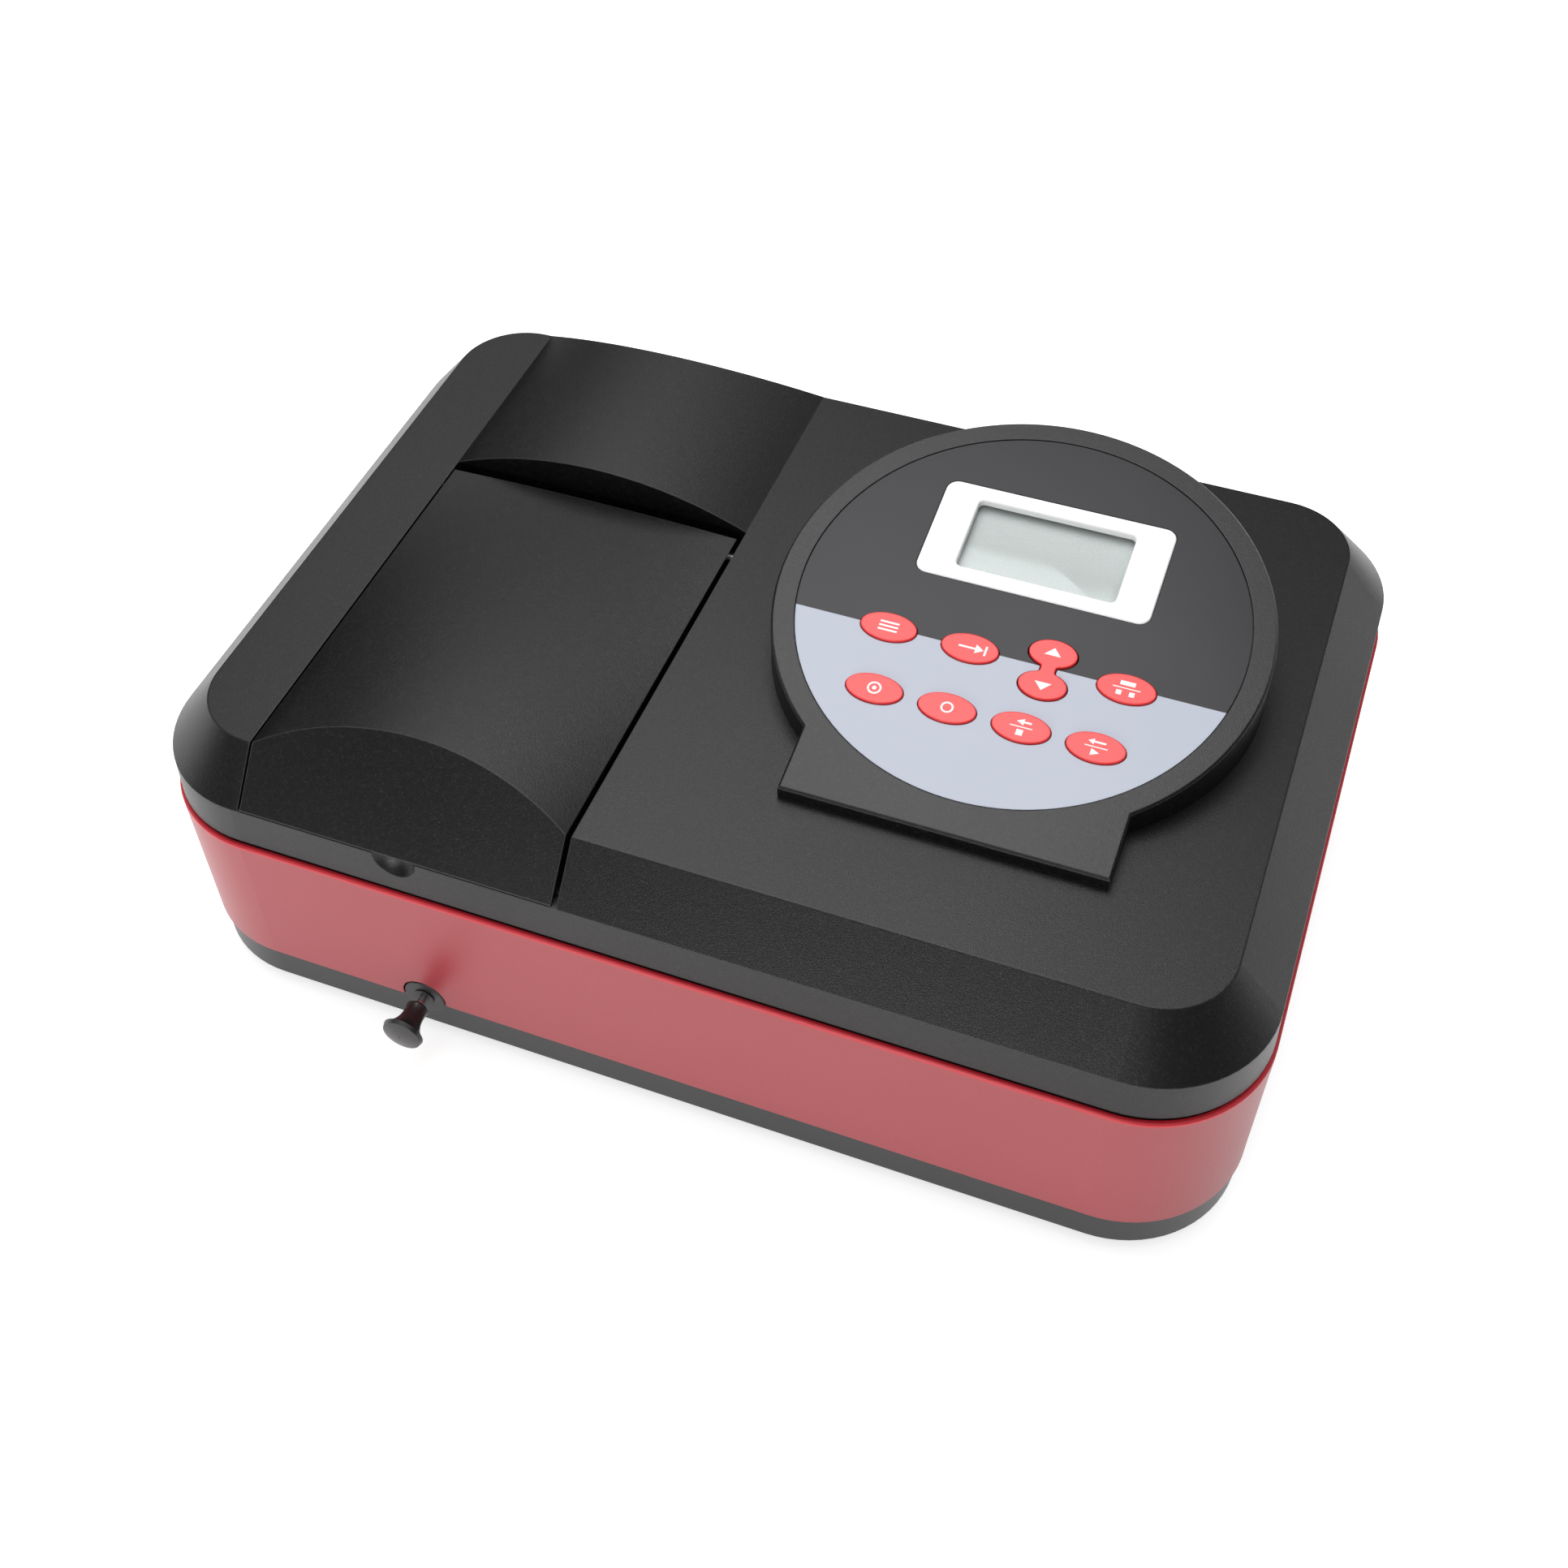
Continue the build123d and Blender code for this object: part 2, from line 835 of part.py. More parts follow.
with BuildPart() as lid_ribs:
    with BuildSketch(level(skirt_bottom)):
        for rib_y in (front_edge + lid_rib_setback, well_north + seal_width / 2):
            rect_between(lid_left, lid_right, rib_y - lid_rib_thickness / 2, rib_y + lid_rib_thickness / 2)
    extrude(amount=facet_rise + lid_front_rise)
    add(lid_outer, mode=Mode.INTERSECT)

with BuildPart() as sample_lid:
    add(lid_outer)
    add(lid_inner, mode=Mode.SUBTRACT)
    with BuildSketch(level(rim)):
        rect_between(lid_left, lid_right, seal_front - seam, lid_back)
    extrude(amount=skirt_bottom - rim, mode=Mode.SUBTRACT)
    with BuildSketch(level(rim)):
        rect_between(lid_left, lid_right, well_north, lid_back)
    extrude(amount=hinge_height - lid_heel_drop - rim, mode=Mode.SUBTRACT)
    add(lid_ribs.part)
    for knuckle_x in (lid_left + knuckle_inset, lid_right - knuckle_inset - knuckle_length):
        with BuildSketch(sideways(knuckle_x, hinge_y, hinge_height)):
            Circle(knuckle_radius)
        extrude(amount=knuckle_length)
    with BuildSketch(sideways(lid_left, hinge_y, hinge_height)):
        Circle(hinge_radius + running)
    extrude(amount=lid_right - lid_left, mode=Mode.SUBTRACT)
save(sample_lid, "sample_lid")


# Hinge pin, held at both ends in the cover
with BuildPart() as hinge_pin:
    with BuildSketch(sideways(open_left - pin_seat, hinge_y, hinge_height)):
        Circle(hinge_radius)
    extrude(amount=opening_width + 2 * pin_seat)
save(hinge_pin, "hinge_pin")


# Light seal: a foam frame on the shelf round the mouth of the well
with BuildPart() as light_seal:
    with BuildSketch(level(rim)):
        rect_between(open_left + seam, open_right - seam, seal_front, well_north + seal_width)
        rect_between(
            open_left + seal_width, open_right - seal_width, seal_front + seal_width, well_north,
            mode=Mode.SUBTRACT,
        )
    extrude(amount=seal_height)
save(light_seal, "light_seal")


# Sample well: the tub under the lid, with end blocks for the guide rods
well_x = (well_west + well_east) / 2
well_y = (well_south + well_north) / 2
well_width = well_east - well_west
well_depth = well_north - well_south
well_bottom = floor_top + well_leg
well_floor_top = well_bottom + well_floor
guide_low = well_south + guide_front
guide_high = well_north - guide_back
guide_half = guide_spread / 2
guide_spots = [(lid_mid + side * guide_half, guide_height) for side in (-1, 1)]

with BuildPart() as sample_well:
    with BuildSketch(level(well_bottom, well_x, well_y)):
        RectangleRounded(well_width + 2 * well_wall, well_depth + 2 * well_wall, well_corner + well_wall)
    extrude(amount=shelf_bottom - well_bottom)
    with BuildSketch(level(shelf_bottom, well_x, well_y)):
        RectangleRounded(well_width + 2 * well_flange, well_depth + 2 * well_flange, well_corner)
    extrude(amount=-well_wall)
    with BuildSketch(level(well_floor_top, well_x, well_y)):
        RectangleRounded(well_width, well_depth, well_corner)
    extrude(amount=shelf_bottom - well_floor_top, mode=Mode.SUBTRACT)
    with BuildSketch(level(well_bottom, well_x, well_y)):
        with GridLocations(well_width - 2 * well_corner, well_depth - 2 * well_corner, 2, 2):
            Circle(well_leg_radius)
    extrude(amount=-well_leg)
    with BuildSketch(level(well_floor_top)):
        for block_low in (guide_low, guide_high - guide_block):
            rect_between(
                lid_mid - guide_half - guide_block, lid_mid + guide_half + guide_block,
                block_low, block_low + guide_block,
            )
    extrude(amount=guide_block_height)
    with BuildSketch(upright(guide_high)):
        with Locations(*guide_spots):
            Circle(guide_radius + press)
    extrude(amount=guide_high - guide_low, mode=Mode.SUBTRACT)
    with BuildSketch(upright(guide_low + guide_block)):
        with Locations((lid_mid, rod_height)):
            Circle(rod_radius + 2 * seam)
    extrude(amount=guide_block + guide_front + well_wall, mode=Mode.SUBTRACT)
    with BuildSketch(sideways(well_west - well_wall)):
        with Locations((beam_y, beam_height)):
            Circle(window_bore)
    extrude(amount=well_width + 2 * well_wall, mode=Mode.SUBTRACT)
save(sample_well, "sample_well")


# Quartz windows where the beam enters and leaves the well
with BuildPart() as beam_windows:
    for window_x in (well_west - well_wall - window_thickness, well_east + well_wall):
        with BuildSketch(sideways(window_x)):
            with Locations((beam_y, beam_height)):
                Circle(window_radius)
        extrude(amount=window_thickness)
save(beam_windows, "beam_windows")


# Cell changer: two guide rods, the sliding block and the rack for the cells
with BuildPart() as guide_rods:
    with BuildSketch(upright(guide_high)):
        with Locations(*guide_spots):
            Circle(guide_radius)
    extrude(amount=guide_high - guide_low)
save(guide_rods, "guide_rods")

carriage_travel = (cell_count - 1) * cell_pitch
carriage_front = beam_y - cell_size / 2 - carriage_end
carriage_length = carriage_travel + cell_size + 2 * carriage_end
carriage_y = carriage_front + carriage_length / 2
carriage_top = carriage_bottom + carriage_height

with BuildPart() as carriage_block:
    with BuildSketch(level(carriage_bottom, lid_mid, carriage_y)):
        Rectangle(carriage_width, carriage_length)
    extrude(amount=carriage_height)
    chamfer(carriage_block.faces().sort_by(Axis.Z)[-1].edges(), edge_break)
    with BuildSketch(upright(carriage_front + carriage_length)):
        with Locations(*guide_spots):
            Circle(guide_radius + running)
    extrude(amount=carriage_length, mode=Mode.SUBTRACT)
    with BuildSketch(upright(carriage_front + rod_seat)):
        with Locations((lid_mid, rod_height)):
            Circle(rod_radius + press)
    extrude(amount=rod_seat, mode=Mode.SUBTRACT)
save(carriage_block, "carriage_block")

with BuildPart() as cell_rack:
    with BuildSketch(level(carriage_top, lid_mid, carriage_y)):
        Rectangle(cell_size + 2 * rack_wall, carriage_length - 2 * edge_break)
    extrude(amount=rack_floor + rack_height)
    with BuildSketch(level(carriage_top + rack_floor, lid_mid, carriage_y)):
        with GridLocations(0, cell_pitch, 1, cell_count):
            Rectangle(cell_size, cell_size)
    extrude(amount=rack_height, mode=Mode.SUBTRACT)
    with BuildSketch(level(carriage_top + rack_floor + rack_slot_sill, lid_mid, carriage_y)):
        with GridLocations(0, cell_pitch, 1, cell_count):
            Rectangle(cell_size + 2 * rack_wall + 2 * edge_break, rack_slot)
    extrude(amount=rack_height, mode=Mode.SUBTRACT)
save(cell_rack, "cell_rack")


# Pull rod with its knob, and the bush it slides through
with BuildPart() as pull_rod:
    with BuildSketch(upright(carriage_front + rod_seat)):
        with Locations((lid_mid, rod_height)):
            Circle(rod_radius)
    extrude(amount=carriage_front + rod_seat - knob_back + knob_seat)
save(pull_rod, "pull_rod")

knob_plane = Plane((lid_mid, centre_y + knob_back, rod_height), x_dir=(0, -1, 0), z_dir=(1, 0, 0))
knob_shoulder = knob_length - knob_rim
knob_cap = knob_flange_radius - knob_dome / 2
knob_sphere = (knob_cap ** 2 + knob_dome ** 2) / (2 * knob_dome)
knob_half_angle = math.asin(knob_cap / knob_sphere) / 2

with BuildPart() as rod_knob:
    with BuildSketch(knob_plane):
        with BuildLine():
            Polyline((0, 0), (0, knob_neck_radius - edge_break), (edge_break, knob_neck_radius))
            Spline(
                (edge_break, knob_neck_radius),
                (knob_length / 3, knob_waist_radius),
                (knob_length * 2 / 3, (knob_waist_radius + knob_flange_radius) / 2 - knob_sweep),
                (knob_shoulder, knob_flange_radius),
            )
            Line((knob_shoulder, knob_flange_radius), (knob_length, knob_cap))
            ThreePointArc(
                (knob_length, knob_cap),
                (
                    knob_length + knob_dome - knob_sphere * (1 - math.cos(knob_half_angle)),
                    knob_sphere * math.sin(knob_half_angle),
                ),
                (knob_length + knob_dome, 0),
            )
            Line((knob_length + knob_dome, 0), (0, 0))
        make_face()
    revolve(axis=Axis((lid_mid, centre_y + knob_back, rod_height), (0, -1, 0)))
    with BuildSketch(upright(knob_back)):
        with Locations((lid_mid, rod_height)):
            Circle(rod_radius + press)
    extrude(amount=knob_seat, mode=Mode.SUBTRACT)
save(rod_knob, "rod_knob")

with BuildPart() as rod_bush:
    with BuildSketch(upright(front_edge + boss_inner)):
        with Locations((lid_mid, rod_height)):
            Circle(bush_radius)
    extrude(amount=front_edge + boss_inner - rod_front)
    with BuildSketch(upright(rod_front)):
        with Locations((lid_mid, rod_height)):
            Circle(bush_flange_radius)
    extrude(amount=bush_flange)
    with BuildSketch(upright(front_edge + boss_inner)):
        with Locations((lid_mid, rod_height)):
            Circle(rod_radius + running)
    extrude(amount=boss_inner + boss_proud + tray_outset + bush_flange, mode=Mode.SUBTRACT)
save(rod_bush, "rod_bush")


# Display pod: a hollow keyhole-shaped head with a tilted face
panel_plane = Plane(
    (pod_x, centre_y + pod_y, pod_z), x_dir=(1, 0, 0), z_dir=(0, -math.sin(tilt), math.cos(tilt))
)
panel_axis = Axis(panel_plane.origin, panel_plane.z_dir)
overlay_floor = overlay_sink + overlay_thickness
flange_top = pod_plate + seam
flange_low = flange_top + key_flange_thickness
stem_low = flange_low + key_stem_length
switch_top = stem_low + switch_gap
key_board_top = switch_top + switch_height
glass_low = pod_plate + glass_thickness
module_board_top = glass_low + module_frame_height
key_spots = upper_key_spots + lower_key_spots
arrow_ends = [(arrow_right, arrow_up + side * arrow_spread / 2) for side in (-1, 1)]
display_spot = (display_right, display_up)
module_width = window_width + 2 * module_board_margin
module_height = window_height + 2 * module_board_margin
module_posts = [
    (display_right + side * (module_width / 2 - board_post_inset),
     display_up + end * (module_height / 2 - board_post_inset))
    for side in (-1, 1) for end in (-1, 1)
]
key_posts = [
    (side * (key_board_width / 2 - key_post_inset),
     key_board_up + end * (key_board_height / 2 - key_post_inset))
    for side in (-1, 1) for end in (-1, 1)
]
trunnion_centre = panel_plane.from_local_coords((arrow_right, arrow_up, -arrow_pivot_depth))
trunnion_plane = Plane(trunnion_centre, x_dir=panel_plane.y_dir, z_dir=(1, 0, 0))


def on_panel(depth):
    """Plane parallel to the tilted face, a depth below its rim."""
    return panel_plane.offset(-depth)


def pod_form(inset, depth):
    """Upright keyhole column moved in by an inset and cut off a depth below the tilted face."""
    radius = pod_radius - inset
    half_tab = pod_tab_width / 2 - inset
    with BuildPart() as form:
        with BuildSketch(level(top, pod_x, pod_y)):
            Ellipse(radius, radius * math.cos(tilt))
            rect_between(-half_tab, half_tab, tab_front_y - pod_y + inset, 0)
        extrude(amount=pod_z - top + pod_radius * math.sin(tilt))
        split(bisect_by=on_panel(depth), keep=Keep.BOTTOM)
    return form.part


def arrow_form(grow):
    """Two ovals joined by a waisted neck, grown by an amount."""
    with BuildSketch() as form:
        with Locations(*arrow_ends):
            Ellipse(arrow_half_width + grow, arrow_half_height + grow)
        with Locations((arrow_right, arrow_up)):
            Rectangle(arrow_neck + 2 * grow, arrow_spread)
        fillet(form.vertices(), arrow_fillet - grow)
    return form.sketch


arrow_outline = arrow_form(0)
arrow_hole = arrow_form(arrow_gap)


def key_holes(mode=Mode.ADD):
    """Holes for the oval keys and the arrow key."""
    with Locations(*key_spots):
        Ellipse(key_half_width + key_gap, key_half_height + key_gap, mode=mode)
    add(arrow_hole, mode=mode)


def display_frame(margin, corner, mode=Mode.ADD):
    """Rounded rectangle round the display window, larger by a margin on every side."""
    with Locations(display_spot):
        RectangleRounded(window_width + 2 * margin, window_height + 2 * margin, corner, mode=mode)


with BuildPart() as pod_bosses:
    with BuildSketch(level(top)):
        with Locations(*pod_boss_spots):
            Circle(pod_boss_radius)
    extrude(amount=pod_radius)
    add(pod_form(pod_edge, pod_plate / 2 + overlay_floor / 2), mode=Mode.INTERSECT)

with BuildPart() as display_housing:
    add(pod_form(0, 0))
    chamfer(display_housing.faces().sort_by(panel_axis)[-1].edges(), pod_edge)
    add(pod_form(pod_wall, pod_plate), mode=Mode.SUBTRACT)
    add(pod_bosses.part)
    with BuildSketch(on_panel(pod_plate)):
        with Locations(*module_posts):
            Circle(board_standoff_radius)
    extrude(amount=pod_plate - module_board_top)
    with BuildSketch(on_panel(pod_plate)):
        with Locations(*key_posts):
            Circle(board_standoff_radius)
    extrude(amount=pod_plate - key_board_top)
    with BuildSketch(on_panel(module_board_top)):
        with Locations(*module_posts):
            Circle(board_peg_radius)
    extrude(amount=-module_board_thickness - board_peg_proud)
    with BuildSketch(on_panel(key_board_top)):
        with Locations(*key_posts):
            Circle(board_peg_radius)
    extrude(amount=-key_board_thickness - board_peg_proud / 2)
    with BuildSketch(on_panel(pod_plate)):
        for side in (-1, 1):
            with Locations((arrow_right + side * (saddle_inner + trunnion_half_length) / 2, arrow_up)):
                Rectangle(trunnion_half_length - saddle_inner, saddle_width)
    extrude(amount=-saddle_depth)
    with BuildSketch(trunnion_plane):
        Circle(trunnion_radius + running)
    extrude(amount=trunnion_half_length, both=True, mode=Mode.SUBTRACT)
    with BuildSketch(panel_plane):
        Circle(overlay_radius)
    extrude(amount=-overlay_floor, mode=Mode.SUBTRACT)
    with BuildSketch(panel_plane):
        key_holes()
        display_frame(bezel_throat_wall + seam, window_corner + bezel_throat_wall)
    extrude(amount=-pod_plate, mode=Mode.SUBTRACT)
    with BuildSketch(level(top)):
        with Locations(*pod_boss_spots):
            Circle(pod_screw_radius + press)
    extrude(amount=pod_screw_grip + bore_spare, mode=Mode.SUBTRACT)
save(display_housing, "display_housing")


# Screws that hold the pod down from inside the cover
with BuildPart() as pod_screws:
    with BuildSketch(level(top - cover_wall)):
        with Locations(*pod_boss_spots):
            Circle(pod_screw_head_radius)
    extrude(amount=-pod_screw_head)
    with BuildSketch(level(top - cover_wall)):
        with Locations(*pod_boss_spots):
            Circle(pod_screw_radius)
    extrude(amount=cover_wall + pod_screw_grip)
save(pod_screws, "pod_screws")


# Panel overlay: thin round sheet let into the face, pierced for keys and display
with BuildPart() as panel_overlay:
    with BuildSketch(on_panel(overlay_floor)):
        Circle(overlay_radius - overlay_gap)
        key_holes(Mode.SUBTRACT)
        with Locations(display_spot):
            RectangleRounded(
                bezel_width + 2 * seam, bezel_height + 2 * seam, bezel_corner + seam, mode=Mode.SUBTRACT
            )
    extrude(amount=overlay_thickness)
save(panel_overlay, "panel_overlay")


# Display surround, window glass and display module
with BuildPart() as display_bezel:
    with BuildSketch(on_panel(overlay_floor)):
        with Locations(display_spot):
            RectangleRounded(bezel_width, bezel_height, bezel_corner)
    extrude(amount=overlay_floor + bezel_proud)
    with BuildSketch(on_panel(overlay_floor)):
        display_frame(bezel_throat_wall, window_corner + bezel_throat_wall)
    extrude(amount=-bezel_throat)
    with BuildSketch(on_panel(overlay_floor + bezel_throat)):
        display_frame(0, window_corner)
    extrude(amount=overlay_floor + bezel_throat + bezel_proud, mode=Mode.SUBTRACT)
    chamfer(display_bezel.faces().sort_by(panel_axis)[-1].edges(), bezel_proud + seam)
save(display_bezel, "display_bezel")

with BuildPart() as display_glass:
    with BuildSketch(on_panel(glass_low)):
        display_frame(glass_margin, window_corner)
    extrude(amount=glass_thickness)
save(display_glass, "display_glass")

with BuildPart() as display_module:
    with BuildSketch(on_panel(module_board_top)):
        display_frame(module_frame_margin, window_corner)
    extrude(amount=module_frame_height)
    with BuildSketch(on_panel(module_board_top)):
        with Locations(display_spot):
            RectangleRounded(module_width, module_height, window_corner)
        with Locations(*module_posts):
            Circle(board_peg_radius + press, mode=Mode.SUBTRACT)
    extrude(amount=-module_board_thickness)
save(display_module, "display_module")


# Oval keys, each with a flange under the face and a stem over its switch
def key_form(spot):
    """One oval key at a spot of the panel."""
    with BuildPart() as form:
        with BuildSketch(on_panel(flange_low)):
            with Locations(spot):
                Ellipse(key_half_width, key_half_height)
        extrude(amount=flange_low - overlay_sink + key_proud)
        fillet(form.faces().sort_by(panel_axis)[-1].edges(), key_round)
        with BuildSketch(on_panel(flange_low)):
            with Locations(spot):
                Ellipse(key_half_width + key_flange, key_half_height + key_flange)
        extrude(amount=key_flange_thickness)
        with BuildSketch(on_panel(flange_low)):
            with Locations(spot):
                Circle(key_stem_radius)
        extrude(amount=-key_stem_length)
    return form.part


for row, spots in (("upper", upper_key_spots), ("lower", lower_key_spots)):
    for number, spot in enumerate(spots, 1):
        with BuildPart() as key:
            add(key_form(spot))
        save(key, f"key_{row}_{number}")


# Two-way arrow key, rocking on a cross pin in two saddles of the pod
with BuildPart() as arrow_rocker:
    with BuildSketch(on_panel(arrow_pivot_depth)):
        add(arrow_outline)
    extrude(amount=arrow_pivot_depth - overlay_sink + key_proud)
    fillet(arrow_rocker.faces().sort_by(panel_axis)[-1].edges(), key_round)
    with BuildSketch(on_panel(arrow_pivot_depth)):
        with Locations(*arrow_ends):
            Circle(key_stem_radius)
    extrude(amount=arrow_pivot_depth - stem_low)
    with BuildSketch(trunnion_plane):
        Circle(trunnion_radius)
    extrude(amount=trunnion_half_length, both=True)
save(arrow_rocker, "arrow_rocker")


# Keypad board on pegs of the pod, with a push switch under every key
with BuildPart() as key_board:
    with BuildSketch(on_panel(key_board_top)):
        with Locations((0, key_board_up)):
            RectangleRounded(key_board_width, key_board_height, board_corner)
        with Locations(*key_posts):
            Circle(board_peg_radius + press, mode=Mode.SUBTRACT)
    extrude(amount=-key_board_thickness)
save(key_board, "key_board")

with BuildPart() as key_switches:
    with BuildSketch(on_panel(key_board_top)):
        with Locations(*key_spots, *arrow_ends):
            Rectangle(switch_size, switch_size)
    extrude(amount=switch_height - switch_plunger)
    with BuildSketch(on_panel(key_board_top)):
        with Locations(*key_spots, *arrow_ends):
            Circle(switch_plunger_radius)
    extrude(amount=switch_height)
save(key_switches, "key_switches")


# Back panel: steel plate inside the window of the band, with air slots and cut-outs
panel_mid = (panel_low + panel_high) / 2
panel_plate_low = tray_top + tongue_height + seam
panel_plate_high = ledge_top - ledge_thickness - seam
inlet_x = right_edge - inlet_margin
switch_x = right_edge - switch_margin
port_x = right_edge - port_margin
fan_x = port_x - fan_spread
fan_reach = fan_size / 2 - fan_screw_inset
fan_screw_spots = [
    (fan_x + side * fan_reach, panel_mid + end * fan_reach) for side in (-1, 1) for end in (-1, 1)
]
inlet_screw_spots = [(inlet_x + side * inlet_screw_spread / 2, panel_mid) for side in (-1, 1)]
all_panel_screws = panel_screw_spots + fan_screw_spots + inlet_screw_spots

with BuildPart() as rear_panel:
    with BuildSketch(upright(panel_inner)):
        rect_between(
            panel_left - panel_overlap, panel_right + panel_overlap, panel_plate_low, panel_plate_high
        )
        with Locations(*all_panel_screws):
            Circle(panel_screw_radius + press, mode=Mode.SUBTRACT)
        with Locations((inlet_x, panel_mid)):
            Rectangle(inlet_body_width + 2 * seam, inlet_body_height + 2 * seam, mode=Mode.SUBTRACT)
        with Locations((switch_x, panel_mid)):
            Rectangle(rocker_frame_width + 2 * seam, rocker_frame_height + 2 * seam, mode=Mode.SUBTRACT)
        with Locations((port_x, panel_mid)):
            Rectangle(port_body_width + 2 * seam, port_body_height + 2 * seam, mode=Mode.SUBTRACT)
    extrude(amount=-panel_thickness)
    with BuildSketch(upright(panel_inner)):
        with Locations((fan_x, panel_mid)):
            for ring in reversed(range(vent_rings)):
                Circle(vent_first + ring * vent_pitch + vent_slot / 2)
                Circle(vent_first + ring * vent_pitch - vent_slot / 2, mode=Mode.SUBTRACT)
            for angle in (45, -45):
                Rectangle(fan_size, vent_bridge, rotation=angle, mode=Mode.SUBTRACT)
    extrude(amount=-panel_thickness, mode=Mode.SUBTRACT)
save(rear_panel, "rear_panel")


# Screws of the back panel, the fan and the mains inlet
screw_seats = (
    (panel_screw_spots, back_edge + band_top_outset),
    (fan_screw_spots, panel_face),
    (inlet_screw_spots, panel_face + inlet_flange),
)

with BuildPart() as panel_screws:
    for spots, seat in screw_seats:
        with BuildSketch(upright(seat)):
            with Locations(*spots):
                Circle(panel_screw_head_radius)
        extrude(amount=-panel_screw_head)
        with BuildSketch(upright(seat)):
            with Locations(*spots):
                Circle(panel_screw_radius)
        extrude(amount=panel_screw_length)
save(panel_screws, "panel_screws")


# Mains inlet with its fuse drawer, and its three blades
inlet_face = panel_face + inlet_flange
inlet_floor = inlet_face - inlet_cavity_depth
inlet_mid = panel_mid + inlet_cavity_rise
inlet_back = panel_face - inlet_body_depth
inlet_pin_spots = [
    (inlet_x - inlet_pin_spread, inlet_mid - inlet_earth_rise / 2),
    (inlet_x, inlet_mid + inlet_earth_rise / 2),
    (inlet_x + inlet_pin_spread, inlet_mid - inlet_earth_rise / 2),
]

with BuildPart() as power_inlet:
    with BuildSketch(upright(panel_face)):
        with Locations((inlet_x, panel_mid)):
            RectangleRounded(inlet_flange_width, inlet_flange_height, inlet_corner)
        with Locations(*inlet_screw_spots):
            Circle(panel_screw_radius + press, mode=Mode.SUBTRACT)
    extrude(amount=-inlet_flange)
    with BuildSketch(upright(panel_face)):
        with Locations((inlet_x, panel_mid)):
            Rectangle(inlet_body_width, inlet_body_height)
    extrude(amount=inlet_body_depth)
    with BuildSketch(upright(inlet_face)) as inlet_mouth:
        with Locations((inlet_x, inlet_mid)):
            Rectangle(inlet_cavity_width, inlet_cavity_height)
        chamfer(inlet_mouth.vertices().group_by(Axis.Y)[-1], inlet_cavity_chamfer)
    extrude(amount=inlet_cavity_depth, mode=Mode.SUBTRACT)
    with BuildSketch(upright(inlet_floor)):
        with Locations(*inlet_pin_spots):
            Rectangle(inlet_pin_thickness + 2 * press, inlet_pin_width + 2 * press)
    extrude(amount=inlet_floor - inlet_back, mode=Mode.SUBTRACT)
    with BuildSketch(upright(inlet_face)):
        with Locations((inlet_x, panel_mid - fuse_drawer_drop)):
            Rectangle(
                fuse_drawer_width + 2 * fuse_drawer_groove, fuse_drawer_height + 2 * fuse_drawer_groove
            )
    extrude(amount=inlet_flange / 2, mode=Mode.SUBTRACT)
    with BuildSketch(upright(inlet_face - inlet_flange / 2)):
        with Locations((inlet_x, panel_mid - fuse_drawer_drop)):
            Rectangle(fuse_drawer_width, fuse_drawer_height)
    extrude(amount=-inlet_flange / 2 - fuse_drawer_proud)
save(power_inlet, "power_inlet")

with BuildPart() as inlet_pins:
    with BuildSketch(upright(inlet_floor + inlet_pin_length)):
        with Locations(*inlet_pin_spots):
            Rectangle(inlet_pin_thickness, inlet_pin_width)
    extrude(amount=inlet_floor + inlet_pin_length - inlet_back + inlet_tab)
save(inlet_pins, "inlet_pins")


# Mains switch: a frame snapped into the panel and the rocker in it, shown pressed at the top
switch_face = panel_face + rocker_frame_flange
switch_pivot = switch_face - rocker_pivot_depth
rocker_half_width = rocker_frame_width / 2 - rocker_frame_wall
rocker_tilt = math.radians(rocker_angle)
rocker_plane = Plane(
    (switch_x, centre_y + switch_pivot, panel_mid),
    x_dir=(0, math.cos(rocker_tilt), math.sin(rocker_tilt)), z_dir=(1, 0, 0),
)

with BuildPart() as switch_frame:
    with BuildSketch(upright(panel_face)):
        with Locations((switch_x, panel_mid)):
            RectangleRounded(
                rocker_frame_width + 2 * rocker_frame_lip, rocker_frame_height + 2 * rocker_frame_lip,
                rocker_frame_lip,
            )
    extrude(amount=-rocker_frame_flange)
    with BuildSketch(upright(panel_face)):
        with Locations((switch_x, panel_mid)):
            Rectangle(rocker_frame_width, rocker_frame_height)
    extrude(amount=rocker_frame_depth)
    with BuildSketch(upright(switch_face)):
        with Locations((switch_x, panel_mid)):
            Rectangle(2 * rocker_half_width, rocker_frame_height - 2 * rocker_frame_wall)
    extrude(amount=rocker_frame_depth, mode=Mode.SUBTRACT)
    with BuildSketch(rocker_plane):
        Circle(rocker_pin_radius + running)
    extrude(amount=rocker_half_width + rocker_pin_seat + running, both=True, mode=Mode.SUBTRACT)
save(switch_frame, "switch_frame")

with BuildPart() as switch_rocker:
    with BuildSketch(rocker_plane):
        Polygon(
            (-rocker_back, -rocker_half), (rocker_lip, -rocker_half), (rocker_dip, 0),
            (rocker_lip, rocker_half), (-rocker_back, rocker_half), (-rocker_keel, 0),
            align=None,
        )
    extrude(amount=rocker_half_width - rocker_gap, both=True)
    with BuildSketch(rocker_plane):
        Circle(rocker_pin_radius)
    extrude(amount=rocker_half_width + rocker_pin_seat, both=True)
save(switch_rocker, "switch_rocker")


# Data port: flange, slanted shell with its socket rows, and two hexagon posts
port_face = panel_face + port_flange

